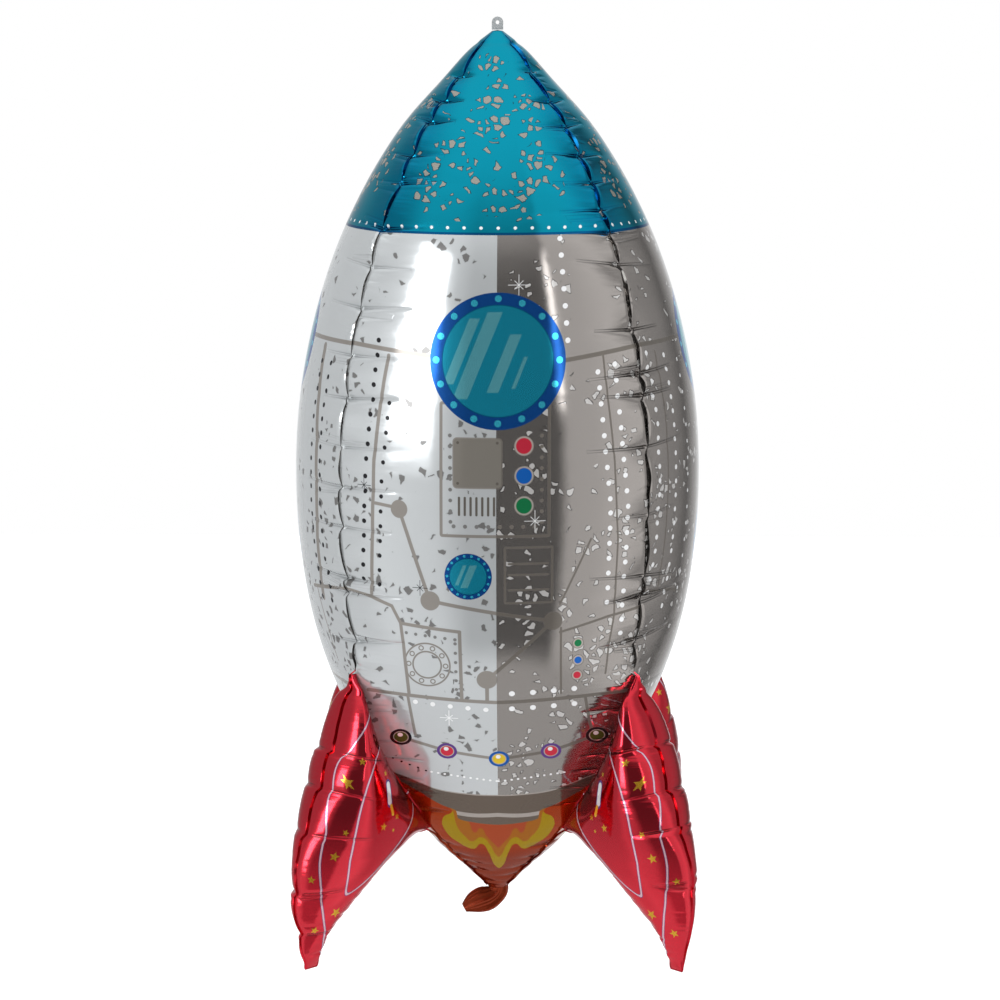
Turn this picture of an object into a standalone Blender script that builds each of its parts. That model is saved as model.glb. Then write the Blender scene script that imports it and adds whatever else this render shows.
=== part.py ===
"""Rocket-shaped foil balloon of four printed film panels, hanging nose up from the tab at its tip.

Metres, +Z up. The origin is the hole of the hanging tab, and the printed front faces -Y.
Depths are measured down from the nose tip, and the fins stand on the four diagonals between the panels.
"""

import math

import bmesh
import bpy
from mathutils import Matrix, Vector

# Driving sizes
TIP_BELOW_HOLE = 0.0060
BODY_LENGTH = 0.7000
WALL = 0.0100
TOUCH_GAP = 0.0003
ROOT_GAP = 0.0008
SEAM_GAP = 0.0004
SEAM_WIDTH = 0.0040
SEAM_THICKNESS = 0.0010
THINNEST_EDGE = 0.0010
INNER_SHARE = 0.35

# Where the printed sections of a panel meet: depth on its middle line, and how much higher at its seams
NOSE_END_MIDDLE = 0.1520
NOSE_END_RISE = 0.0010
HULL_END_MIDDLE = 0.6250
HULL_END_RISE = 0.0400

PANEL_COLUMNS = 8
PANEL_ROWS = {"nose": 9, "hull": 18, "flame": 6}
FIN_COLUMNS = 8

# depth, radius on a panel's middle line, share by which the corner at a seam stands out beyond it
BODY_PROFILE = (
    (0.000, 0.0035, 0.000),
    (0.012, 0.0190, 0.020),
    (0.040, 0.0452, 0.030),
    (0.070, 0.0722, 0.035),
    (0.101, 0.0935, 0.035),
    (0.132, 0.1109, 0.035),
    (0.170, 0.1282, 0.035),
    (0.225, 0.1460, 0.035),
    (0.290, 0.1586, 0.035),
    (0.356, 0.1624, 0.035),
    (0.420, 0.1584, 0.035),
    (0.470, 0.1495, 0.040),
    (0.510, 0.1370, 0.100),
    (0.550, 0.1195, 0.165),
    (0.590, 0.0980, 0.165),
    (0.630, 0.0728, 0.095),
    (0.660, 0.0485, 0.030),
    (0.680, 0.0270, 0.010),
    (0.700, 0.0070, 0.000),
)

# depth, distance from the axis to the outer edge, half thickness where it is fattest
FIN_OUTLINE = (
    (0.4950, 0.1575, 0.0070),
    (0.5100, 0.1615, 0.0140),
    (0.5240, 0.1675, 0.0205),
    (0.5480, 0.1780, 0.0280),
    (0.5700, 0.1880, 0.0330),
    (0.6000, 0.2010, 0.0350),
    (0.6200, 0.2095, 0.0340),
    (0.6450, 0.2155, 0.0295),
    (0.6625, 0.2175, 0.0240),
    (0.6800, 0.2160, 0.0180),
    (0.6970, 0.2120, 0.0120),
    (0.7125, 0.2090, 0.0060),
    (0.7225, 0.2070, 0.0020),
)

# depth, distance from the axis to the fin's sealed lower edge
FIN_LOWER_EDGE = (
    (0.6345, 0.0775),
    (0.6360, 0.0990),
    (0.6395, 0.1130),
    (0.6475, 0.1290),
    (0.6600, 0.1475),
    (0.6735, 0.1615),
    (0.6870, 0.1755),
    (0.7005, 0.1880),
    (0.7110, 0.1930),
    (0.7225, 0.1965),
)

# Depths of the rows of points that a fin is made of
FIN_ROW_DEPTHS = (
    0.4950, 0.5050, 0.5170, 0.5310, 0.5460, 0.5610, 0.5760, 0.5910, 0.6050, 0.6190,
    0.6345, 0.6360, 0.6420, 0.6510, 0.6620, 0.6740, 0.6860, 0.6980, 0.7100, 0.7225,
)

FIN_TOP = FIN_ROW_DEPTHS[0]
FIN_TIP = FIN_ROW_DEPTHS[-1]
FIN_NOTCH = FIN_LOWER_EDGE[0][0]
FIN_NOTCH_BLEND = 0.0300
FIN_LOWER_ROUNDING = 0.0300
FATTEST_AT_ROOT_END = 0.62
FATTEST_AT_TIP_END = 0.50
ROOT_FATNESS = 0.15

TAB_HALF_WIDTH = 0.0045
TAB_ABOVE_HOLE = 0.0045
TAB_HOLE_RADIUS = 0.0015
TAB_THICKNESS = 0.0012

NECK_WIDTH = 0.0150
NECK_BEND_RADIUS = 0.0090
NECK_LENGTH = 0.0190
NECK_THICKNESS = 0.0016
NECK_TURN = math.radians(14)

# name, foil colour, roughness
FOILS = {
    "nose_foil": ((0.010, 0.260, 0.420, 1.0), 0.18),
    "hull_foil": ((0.560, 0.550, 0.540, 1.0), 0.20),
    "flame_foil": ((0.560, 0.160, 0.030, 1.0), 0.22),
    "fin_foil": ((0.450, 0.015, 0.025, 1.0), 0.18),
    "seam_foil": ((0.350, 0.340, 0.340, 1.0), 0.30),
}
PANEL_SIDES = ("front", "right", "back", "left")
FIN_CORNERS = ("front_right", "back_right", "back_left", "front_left")


def table_value(table, column, depth):
    """Smooth value of one column of a table of rows that start with a depth."""
    rows = [(row[0], row[column]) for row in table]
    depth = min(max(depth, rows[0][0]), rows[-1][0])
    i = max(k for k in range(len(rows) - 1) if rows[k][0] <= depth)
    (x0, y0), (x1, y1) = rows[i], rows[i + 1]
    span = x1 - x0
    chord = (y1 - y0) / span
    before = (y0 - rows[i - 1][1]) / (x0 - rows[i - 1][0]) if i else chord
    after = (rows[i + 2][1] - y1) / (rows[i + 2][0] - x1) if i + 2 < len(rows) else chord
    start, end = (before + chord) / 2, (chord + after) / 2
    s = (depth - x0) / span
    return (
        y0 * (1 + 2 * s) * (1 - s) ** 2
        + start * span * s * (1 - s) ** 2
        + y1 * s * s * (3 - 2 * s)
        - end * span * s * s * (1 - s)
    )


def body_radius(across, depth):
    """Distance from the axis to the film, across a panel from -1 at one seam to 1 at the other."""
    middle = table_value(BODY_PROFILE, 1, depth)
    corner = table_value(BODY_PROFILE, 2, depth)
    return middle * (1 + corner * abs(across) ** 3)


def body_slope(depth):
    """Change of the middle radius for each metre of depth."""
    step = 0.002
    high = table_value(BODY_PROFILE, 1, depth + step)
    return (high - table_value(BODY_PROFILE, 1, depth - step)) / (2 * step)


def foil(name):
    """Material of one printed foil."""
    colour, roughness = FOILS[name]
    material = bpy.data.materials.new(name)
    material.use_nodes = True
    shader = material.node_tree.nodes["Principled BSDF"]
    shader.inputs["Base Color"].default_value = colour
    shader.inputs["Metallic"].default_value = 1.0
    shader.inputs["Roughness"].default_value = roughness
    return material


def lofted_plate(name, columns, rows, outer, inner):
    """Closed plate between two surfaces, each a function of across and along, both from -1 to 1."""
    bm = bmesh.new()
    bmesh.ops.create_grid(bm, x_segments=columns, y_segments=rows, size=1.0)
    extruded = bmesh.ops.extrude_face_region(bm, geom=bm.faces[:], use_keep_orig=True)
    inside = {v for v in extruded["geom"] if isinstance(v, bmesh.types.BMVert)}
    for vertex in bm.verts:
        place = inner if vertex in inside else outer
        vertex.co = place(vertex.co.x, vertex.co.y)
    bmesh.ops.recalc_face_normals(bm, faces=bm.faces[:])
    if bm.calc_volume(signed=True) < 0:
        bmesh.ops.reverse_faces(bm, faces=bm.faces[:])
    mesh = bpy.data.meshes.new(name)
    bm.to_mesh(mesh)
    bm.free()
    mesh.shade_smooth()
    mesh.set_sharp_from_angle(angle=math.radians(40))
    return mesh


def add_object(name, data, material, quarter_turns, collection):
    """Object of a mesh or curve, turned about the axis by quarter turns."""
    if not data.materials:
        data.materials.append(material)
    part = bpy.data.objects.new(name, data)
    part.rotation_euler = (0.0, 0.0, quarter_turns * math.pi / 2)
    collection.objects.link(part)
    return part


def panel_section(name, top, bottom, rows):
    """Front panel's film between two printed borders, each a function of across that gives a depth."""
    shift = TOUCH_GAP / math.sqrt(2)

    def depth_at(across, along):
        share = (1 - along) / 2
        return top(across) * (1 - share) + bottom(across) * share

    def outer(across, along):
        depth = depth_at(across, along)
        radius, angle = body_radius(across, depth), across * math.pi / 4
        height = -TIP_BELOW_HOLE - depth
        return Vector((radius * math.sin(angle), -radius * math.cos(angle) - shift, height))

    def inner(across, along):
        middle = depth_at(0, along)
        apex_depth = middle + body_radius(0, middle) * body_slope(middle)
        inward = Vector((0, -shift, -TIP_BELOW_HOLE - apex_depth)) - outer(across, along)
        return outer(across, along) + inward * min(WALL / inward.length, 1 - INNER_SHARE)

    return lofted_plate(name, PANEL_COLUMNS, rows, outer, inner)


def printed_border(middle, rise, gap_side):
    """Border of two printed sections as a function of across, moved by half the gap between them."""
    return lambda across: middle - rise * across**2 + gap_side * TOUCH_GAP / 2


def panel_borders():
    """Name, upper border and lower border of each printed section of a panel."""
    tip = printed_border(0.0, 0.0, 0)
    tail = printed_border(BODY_LENGTH, 0.0, 0)
    nose_end = (NOSE_END_MIDDLE, NOSE_END_RISE)
    hull_end = (HULL_END_MIDDLE, HULL_END_RISE)
    return (
        ("nose", tip, printed_border(*nose_end, -1)),
        ("hull", printed_border(*nose_end, 1), printed_border(*hull_end, -1)),
        ("flame", printed_border(*hull_end, 1), tail),
    )


def build_panels(collection, materials):
    """The nose, hull and flame section of each of the four film panels."""
    for section, top, bottom in panel_borders():
        mesh = panel_section(f"{section}_panel", top, bottom, PANEL_ROWS[section])
        for turn, side in enumerate(PANEL_SIDES):
            add_object(f"{section}_{side}", mesh, materials[f"{section}_foil"], turn, collection)


def fin_edges(depth):
    """Distances from the axis to the inner and the outer edge of a fin."""
    outer = table_value(FIN_OUTLINE, 1, depth)
    if depth < FIN_NOTCH:
        return body_radius(1.0, depth) + ROOT_GAP, outer
    return table_value(FIN_LOWER_EDGE, 1, depth), outer


def lower_edge_depth(radius):
    """Depth of the fin's lower edge at a distance from the axis."""
    return table_value(tuple((r, low) for low, r in FIN_LOWER_EDGE), 1, radius)


def swelling_start(depth):
    """Distance from the axis where a fin starts to swell: the body, and below the notch a line to the tip."""
    if depth < FIN_NOTCH:
        return body_radius(1.0, depth)
    share = (depth - FIN_NOTCH) / (FIN_TIP - FIN_NOTCH)
    notch_radius = body_radius(1.0, FIN_NOTCH)
    return notch_radius + (FIN_LOWER_EDGE[-1][1] - notch_radius) * share


def fin_face(name, side):
    """One film face of the front right fin: side is 1 on the right panel's side, -1 on the front's."""
    outward = Vector((1, -1, 0)).normalized()
    normal = Vector((1, 1, 0)).normalized() * side

    def at(along):
        depth = FIN_ROW_DEPTHS[round((1 - along) / 2 * (len(FIN_ROW_DEPTHS) - 1))]
        root = min(max((FIN_NOTCH + FIN_NOTCH_BLEND - depth) / (2 * FIN_NOTCH_BLEND), 0), 1)
        return depth, root

    def half_thickness(across, depth, root):
        inner, outer = fin_edges(depth)
        radius = inner + (outer - inner) * (across + 1) / 2
        start = swelling_start(depth)
        p = (radius - start) / (outer - start)
        room = min(max((lower_edge_depth(radius) - depth) / FIN_LOWER_ROUNDING, 0), 1)
        fattest = FATTEST_AT_TIP_END + (FATTEST_AT_ROOT_END - FATTEST_AT_TIP_END) * root
        edge = ROOT_FATNESS * root
        if p > fattest:
            swell = 1 - ((p - fattest) / (1 - fattest)) ** 2
        else:
            swell = 1 - (1 - edge**2) * ((fattest - p) / fattest) ** 2
        full = table_value(FIN_OUTLINE, 2, depth) * math.sqrt(room * (2 - room))
        return max(full * math.sqrt(max(swell, 0)), THINNEST_EDGE)

    def seated(radius, lateral, depth):
        """Keeps a point near the root clear of the rounded corner of the body."""
        if depth > FIN_NOTCH:
            return radius
        corner = body_radius(1.0, depth)
        angle = math.asin(min(lateral / corner, 0.9))
        film = body_radius(1 - angle / (math.pi / 4), depth) * math.cos(angle)
        return radius - (corner - film) if radius < corner + 2 * ROOT_GAP else radius

    def point(across, depth, lateral):
        inner, outer = fin_edges(depth)
        radius = inner + (outer - inner) * (across + 1) / 2
        radius = seated(radius, lateral, depth)
        return outward * radius + normal * lateral - Vector((0, 0, TIP_BELOW_HOLE + depth))

    def outside(across, along):
        depth, root = at(along)
        return point(across, depth, half_thickness(across, depth, root))

    def inside(across, along):
        depth, root = at(along)
        lateral = half_thickness(across, depth, root) - WALL
        return point(across, depth, max(lateral, TOUCH_GAP / 2))

    return lofted_plate(name, FIN_COLUMNS, len(FIN_ROW_DEPTHS) - 1, outside, inside)


def build_fins(collection, material):
    """Four fins, each of two film faces that belong to the panels beside it."""
    faces = ((0, fin_face("fin_face_first", -1)), (1, fin_face("fin_face_second", 1)))
    for turn, corner in enumerate(FIN_CORNERS):
        for step, mesh in faces:
            side = PANEL_SIDES[(turn + step) % 4]
            add_object(f"fin_{corner}_{side}_face", mesh, material, turn, collection)


def seam_path():
    """Corner of the film in a seam's plane, as distance from the axis and height, nose to tail."""
    corners = []
    for section, top, bottom in panel_borders():
        rows = PANEL_ROWS[section]
        depths = [top(1) + (bottom(1) - top(1)) * i / rows for i in range(rows + 1)]
        corners += [(body_radius(1.0, d), d) for d in depths[1:]]
    body = [(body_radius(1.0, 0.0), 0.0)] + corners
    above = [point for point in body if point[1] < FIN_TOP - SEAM_WIDTH]
    outer = [(fin_edges(d)[1], d) for d in FIN_ROW_DEPTHS]
    lower = [(fin_edges(d)[0], d) for d in reversed(FIN_ROW_DEPTHS) if d >= FIN_NOTCH]
    below = [point for point in body if point[1] > FIN_NOTCH + SEAM_WIDTH]
    return [(r, -TIP_BELOW_HOLE - d) for r, d in above + outer + lower + below]


def offset_path(points, width):
    """Points beside a path, at a width to its left."""
    moved = []
    for i, point in enumerate(points):
        here = Vector(point)
        before = (here - Vector(points[i - 1])).normalized() if i else None
        after = (Vector(points[i + 1]) - here).normalized() if i + 1 < len(points) else before
        before = before or after
        left = Vector((-(before + after).y, (before + after).x)).normalized()
        square = Vector((-before.y, before.x))
        moved.append(tuple(here + left * width / max(left.dot(square), 0.5)))
    return moved


def flat_outline(name, outlines, thickness):
    """Flat plate in the plane of X and Y from closed outlines, the first of them the outside."""
    curve = bpy.data.curves.new(name, "CURVE")
    curve.dimensions = "2D"
    curve.fill_mode = "BOTH"
    curve.extrude = thickness / 2
    for outline in outlines:
        spline = curve.splines.new("POLY")
        spline.points.add(len(outline) - 1)
        for knot, (x, y) in zip(spline.points, outline):
            knot.co = (x, y, 0.0, 1.0)
        spline.use_cyclic_u = True
    return curve


def build_seams(collection, material):
    """Heat-sealed edge of each pair of panels: down the body, round the fin and on to the tail."""
    film = seam_path()
    inner_edge = offset_path(film, SEAM_GAP)
    outline = inner_edge + list(reversed(offset_path(film, SEAM_GAP + SEAM_WIDTH)))
    curve = flat_outline("seam_strip", [outline], SEAM_THICKNESS)
    upright = Matrix.Rotation(-math.pi / 4, 4, "Z") @ Matrix.Rotation(math.pi / 2, 4, "X")
    for turn, corner in enumerate(FIN_CORNERS):
        strip = add_object(f"seam_{corner}", curve, material, 0, collection)
        strip.matrix_world = Matrix.Rotation(turn * math.pi / 2, 4, "Z") @ upright


def arc_points(centre, radius, start, end, steps):
    """Points on an arc, from a start to an end angle in degrees."""
    angles = [math.radians(start + (end - start) * i / steps) for i in range(steps + 1)]
    return [(centre[0] + radius * math.cos(a), centre[1] + radius * math.sin(a)) for a in angles]


def build_hanging_tab(collection, material):
    """Flat tab of sealed film on the nose tip, punched for the line that holds the balloon."""
    foot = -TIP_BELOW_HOLE + TOUCH_GAP
    crown = arc_points((0, TAB_ABOVE_HOLE - TAB_HALF_WIDTH), TAB_HALF_WIDTH, 0, 180, 12)
    outline = [(-TAB_HALF_WIDTH, foot), (TAB_HALF_WIDTH, foot), *crown]
    hole = arc_points((0, 0), TAB_HOLE_RADIUS, 0, 330, 11)
    curve = flat_outline("hanging_tab", [outline, hole], TAB_THICKNESS)
    tab = add_object("hanging_tab", curve, material, 0, collection)
    tab.matrix_world = Matrix.Rotation(math.pi / 2, 4, "X")


def build_filling_neck(collection, material):
    """Flat filling neck under the tail, bent over to the left as it hangs."""
    half = NECK_WIDTH / 2
    top = -TIP_BELOW_HOLE - BODY_LENGTH - TOUCH_GAP
    centre = (-half - NECK_BEND_RADIUS + half, top)
    outer = arc_points(centre, NECK_BEND_RADIUS + half, 0, -90, 8)
    inner = arc_points(centre, NECK_BEND_RADIUS - half, -90, 0, 6)
    end_x = centre[0] - NECK_LENGTH
    low = centre[1] - NECK_BEND_RADIUS
    outline = [*outer, (end_x, low - half), (end_x, low + half), *inner]
    curve = flat_outline("filling_neck", [outline], NECK_THICKNESS)
    neck = add_object("filling_neck", curve, material, 0, collection)
    neck.matrix_world = Matrix.Rotation(NECK_TURN, 4, "Z") @ Matrix.Rotation(math.pi / 2, 4, "X")


def main():
    """Builds the balloon in an empty scene."""
    for old in list(bpy.data.objects):
        bpy.data.objects.remove(old)
    collection = bpy.data.collections.new("rocket_foil_balloon")
    bpy.context.scene.collection.children.link(collection)
    materials = {name: foil(name) for name in FOILS}
    build_panels(collection, materials)
    build_fins(collection, materials["fin_foil"])
    build_seams(collection, materials["seam_foil"])
    build_hanging_tab(collection, materials["nose_foil"])
    build_filling_neck(collection, materials["flame_foil"])


main()
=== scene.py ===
"""Rocket foil balloon as it hangs inflated: printed metallised film, puckered seams, sealed edges and fins.

Metres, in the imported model's frame: the hole of the hanging tab is the origin, +Z is up and the printed
front faces -Y. Depths are measured down from the nose tip. Film places are arc millimetres: across a panel
from its middle line, and along it from the nose tip.
"""

import logging
import math
from dataclasses import dataclass, field, replace
from enum import Enum
from functools import cached_property
from typing import Callable, Protocol, Sequence, Union

import bmesh
import bpy
import numpy as np
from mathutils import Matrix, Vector


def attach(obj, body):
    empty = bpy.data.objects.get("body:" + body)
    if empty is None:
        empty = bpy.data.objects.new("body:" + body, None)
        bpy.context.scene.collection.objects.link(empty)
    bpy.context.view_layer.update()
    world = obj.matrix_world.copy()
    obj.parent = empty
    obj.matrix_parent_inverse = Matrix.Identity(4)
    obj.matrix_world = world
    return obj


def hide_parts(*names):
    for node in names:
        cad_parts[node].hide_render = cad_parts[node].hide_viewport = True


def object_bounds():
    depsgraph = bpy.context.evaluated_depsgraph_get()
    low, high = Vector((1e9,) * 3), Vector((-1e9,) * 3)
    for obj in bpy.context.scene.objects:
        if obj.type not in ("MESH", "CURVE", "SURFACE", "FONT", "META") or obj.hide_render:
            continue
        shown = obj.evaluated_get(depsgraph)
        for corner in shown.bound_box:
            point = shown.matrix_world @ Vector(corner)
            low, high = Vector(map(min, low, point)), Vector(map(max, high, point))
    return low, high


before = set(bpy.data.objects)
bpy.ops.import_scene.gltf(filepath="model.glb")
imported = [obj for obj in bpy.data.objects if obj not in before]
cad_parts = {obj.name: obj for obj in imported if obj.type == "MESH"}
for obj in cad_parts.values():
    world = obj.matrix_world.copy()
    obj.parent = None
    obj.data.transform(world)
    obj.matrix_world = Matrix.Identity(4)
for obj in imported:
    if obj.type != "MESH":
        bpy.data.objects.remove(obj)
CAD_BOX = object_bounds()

LOG = logging.getLogger("rocket_balloon")

TIP_BELOW_HOLE = 0.006
PANEL_SIDES = ("front", "right", "back", "left")
CORNERS = ("front_right", "back_right", "back_left", "front_left")
# reaches from which a fold lies in a broad valley and has a sharp line, and its depth from which that is full
BROAD_FROM = 0.02
LINED_FROM = 0.017
FULL_LINE_DEPTH = 0.0008

Array = np.ndarray
Socket = bpy.types.NodeSocket
Sockets = dict[str, Socket]
Row = tuple[float, ...]
Curve = tuple[tuple[float, float], ...]
Path = tuple[float | tuple[float, float], ...]


class Tone(Enum):
    """Inks of the print, as linear colours."""

    SILVER = (0.640, 0.662, 0.668)
    TAUPE = (0.420, 0.385, 0.360)
    LINE_LIGHT = (0.300, 0.275, 0.250)
    LINE_DARK = (0.175, 0.155, 0.135)
    BLACK = (0.015, 0.015, 0.017)
    WHITE = (0.900, 0.900, 0.900)
    FLAKE_DARK = (0.200, 0.195, 0.190)
    FLAKE_GREY = (0.330, 0.315, 0.280)
    FLAKE_PALE = (0.620, 0.600, 0.580)
    TEAL = (0.003, 0.320, 0.450)
    TEAL_DEEP = (0.002, 0.120, 0.300)
    # dark grey laid on the sealed edge over the hull: painted shade of the valleys beside the seams
    SEAL_GREY = (0.110, 0.105, 0.098)
    ROSE = (0.720, 0.460, 0.500)
    NAVY = (0.008, 0.095, 0.380)
    GLASS = (0.012, 0.340, 0.500)
    GLASS_LIGHT = (0.200, 0.600, 0.660)
    RIVET_TEAL = (0.060, 0.620, 0.820)
    PLATE = (0.300, 0.275, 0.240)
    RED = (0.620, 0.030, 0.060)
    GREEN = (0.010, 0.200, 0.070)
    OLIVE = (0.070, 0.095, 0.018)
    BLUE = (0.010, 0.130, 0.520)
    YELLOW = (0.760, 0.520, 0.030)
    PURPLE = (0.120, 0.050, 0.240)
    BAND_BROWN = (0.165, 0.128, 0.102)
    BAND_LIGHT = (0.470, 0.420, 0.380)
    FLAME_DEEP = (0.300, 0.036, 0.008)
    FLAME_RED = (0.430, 0.050, 0.005)
    FLAME_YELLOW = (0.460, 0.290, 0.003)
    FLAME_ORANGE = (0.460, 0.150, 0.012)
    FLAME_CORE = (0.480, 0.080, 0.026)
    FIN_RED = (0.720, 0.022, 0.042)
    GOLD = (0.800, 0.430, 0.030)


Feed = Union[Socket, Tone, float, str, Row]
Feeds = dict[str | int, Feed]


def smooth_table(rows: Sequence[Sequence[float]], column: int, at: Array) -> Array:
    """Smooth interpolation of a table whose rows start with their position.

    Args:
        rows: Table rows, positions rising.
        column: Column to read.
        at: Positions to read it at, held to the table's range.

    Returns:
        Values of the column, with a continuous slope.
    """
    x = np.array([row[0] for row in rows])
    y = np.array([row[column] for row in rows])
    at = np.clip(at, x[0], x[-1])
    i = np.clip(np.searchsorted(x, at, side="right") - 1, 0, len(x) - 2)
    chord = np.diff(y) / np.diff(x)
    slope = np.concatenate([chord[:1], (chord[:-1] + chord[1:]) / 2, chord[-1:]])
    span = x[i + 1] - x[i]
    s = (at - x[i]) / span
    rising = y[i] * (1 + 2 * s) * (1 - s) ** 2 + slope[i] * span * s * (1 - s) ** 2
    return rising + y[i + 1] * s * s * (3 - 2 * s) - slope[i + 1] * span * s * s * (1 - s)


@dataclass
class BodyForm:
    """Inflated body before its puckers: a barrel whose corners stand out where the fins begin."""

    length: float = 0.700
    nose_end: float = 0.152
    hull_end: float = 0.625
    hull_end_rise: float = 0.040
    # depth, radius on a panel's middle line, share by which the corner at a seam stands out beyond it
    profile: tuple[tuple[float, float, float], ...] = (
        (0.000, 0.0035, 0.000),
        (0.012, 0.0190, 0.020),
        (0.040, 0.0452, 0.030),
        (0.070, 0.0722, 0.035),
        (0.101, 0.0935, 0.035),
        (0.132, 0.1109, 0.035),
        (0.170, 0.1282, 0.035),
        (0.225, 0.1460, 0.035),
        (0.290, 0.1586, 0.035),
        (0.356, 0.1624, 0.035),
        (0.420, 0.1584, 0.035),
        (0.470, 0.1495, 0.040),
        (0.510, 0.1370, 0.100),
        (0.550, 0.1195, 0.165),
        (0.590, 0.0980, 0.165),
        (0.630, 0.0728, 0.095),
        (0.660, 0.0485, 0.030),
        (0.680, 0.0270, 0.010),
        (0.700, 0.0070, 0.000),
    )
    depths: Array = field(init=False)
    arcs: Array = field(init=False)

    def __post_init__(self) -> None:
        """Measures the film's length along a panel's middle line."""
        self.depths = np.linspace(0.0, self.length, 2801)
        radii = smooth_table(self.profile, 1, self.depths)
        steps = np.hypot(np.diff(radii), np.diff(self.depths))
        self.arcs = np.concatenate([[0.0], np.cumsum(steps)])

    def middle(self, depth: Array) -> Array:
        """Radius on a panel's middle line."""
        return smooth_table(self.profile, 1, depth)

    def radius(self, across: Array, depth: Array) -> Array:
        """Radius across a panel, from -1 at one seam to 1 at the other."""
        return self.middle(depth) * (1 + smooth_table(self.profile, 2, depth) * np.abs(across) ** 3)

    def arc(self, depth: Array) -> Array:
        """Film length from the nose tip down to a depth."""
        return np.interp(depth, self.depths, self.arcs)

    def depth_at(self, arc: Array) -> Array:
        """Depth reached by a film length from the nose tip."""
        return np.interp(arc, self.arcs, self.depths)


@dataclass
class FinForm:
    """A fin before its puckers: two film faces that swell between the body and their sealed edges."""

    top: float = 0.495
    notch: float = 0.6345
    tip: float = 0.7225
    rounding: float = 0.030
    notch_blend: float = 0.030
    fattest_at_root_end: float = 0.62
    fattest_at_tip_end: float = 0.50
    root_fatness: float = 0.15
    # depth, distance from the axis to the outer edge, half thickness where it is fattest
    outline: tuple[tuple[float, float, float], ...] = (
        (0.4950, 0.1575, 0.0070),
        (0.5100, 0.1615, 0.0140),
        (0.5240, 0.1675, 0.0205),
        (0.5480, 0.1780, 0.0280),
        (0.5700, 0.1880, 0.0330),
        (0.6000, 0.2010, 0.0350),
        (0.6200, 0.2095, 0.0340),
        (0.6450, 0.2155, 0.0295),
        (0.6625, 0.2175, 0.0240),
        (0.6800, 0.2160, 0.0180),
        (0.6970, 0.2120, 0.0120),
        (0.7125, 0.2090, 0.0060),
        (0.7225, 0.2070, 0.0020),
    )
    # depth, distance from the axis to the sealed lower edge
    lower_edge: tuple[tuple[float, float], ...] = (
        (0.6345, 0.0775),
        (0.6360, 0.0990),
        (0.6395, 0.1130),
        (0.6475, 0.1290),
        (0.6600, 0.1475),
        (0.6735, 0.1615),
        (0.6870, 0.1755),
        (0.7005, 0.1880),
        (0.7110, 0.1930),
        (0.7225, 0.1965),
    )

    def lower_by_radius(self) -> list[tuple[float, float]]:
        """Lower edge as distances from the axis, and depths."""
        return [(radius, depth) for depth, radius in self.lower_edge]

    def half_thickness(self, body: BodyForm, radius: Array, depth: Array) -> Array:
        """Half thickness of the inflated fin at a place of its middle plane.

        Args:
            body: The body that the fin stands on.
            radius: Distances from the axis.
            depth: Depths below the nose tip.

        Returns:
            Distances from the middle plane to the film.
        """
        outer = smooth_table(self.outline, 1, depth)
        corner = body.radius(np.ones_like(depth), np.minimum(depth, self.notch))
        share = np.clip((depth - self.notch) / (self.tip - self.notch), 0, 1)
        start = corner + (self.lower_edge[-1][1] - corner) * share
        p = np.clip((radius - start) / (outer - start), 0, 1)
        root = np.clip((self.notch + self.notch_blend - depth) / (2 * self.notch_blend), 0, 1)
        fattest = self.fattest_at_tip_end + (self.fattest_at_root_end - self.fattest_at_tip_end) * root
        edge = (self.root_fatness * root) ** 2
        beyond = 1 - ((p - fattest) / (1 - fattest)) ** 2
        before = 1 - (1 - edge) * ((fattest - p) / fattest) ** 2
        swell = np.where(p > fattest, beyond, before)
        room = np.clip((smooth_table(self.lower_by_radius(), 1, radius) - depth) / self.rounding, 0, 1)
        full = smooth_table(self.outline, 2, depth) * np.sqrt(room * (2 - room))
        return full * np.sqrt(np.clip(swell, 0, 1))


@dataclass(frozen=True)
class Crease:
    """One fold that runs from a seam into the film."""

    place: float
    depth: float
    reach: float
    width: float
    lean: float

    def height(self, along: Array, away: Array) -> Array:
        """Height that the fold adds to the film.

        Args:
            along: Film lengths along the seam.
            away: Film distances from the seam.

        Returns:
            Heights along the film's outward normal, below zero in the valley.
        """
        run = np.clip(1 - away / self.reach, 0, 1)
        width = self.width * (0.60 + 0.40 * run)
        offset = (along - self.place - self.lean * away) / width
        valley = np.exp(-np.abs(offset) ** 1.35)
        shoulder = np.exp(-((offset - 1.7) ** 2) / 0.9) + 0.6 * np.exp(-((offset + 1.9) ** 2) / 1.1)
        return self.depth * run**0.8 * (0.42 * shoulder - valley)

    def broadened(self, depth: float, reach: float, width: float) -> "Crease":
        """The broad valley that the fold lies in, by shares of the fold's own sizes."""
        return Crease(self.place, self.depth * depth, self.reach * reach, self.width * width, self.lean)


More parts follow.
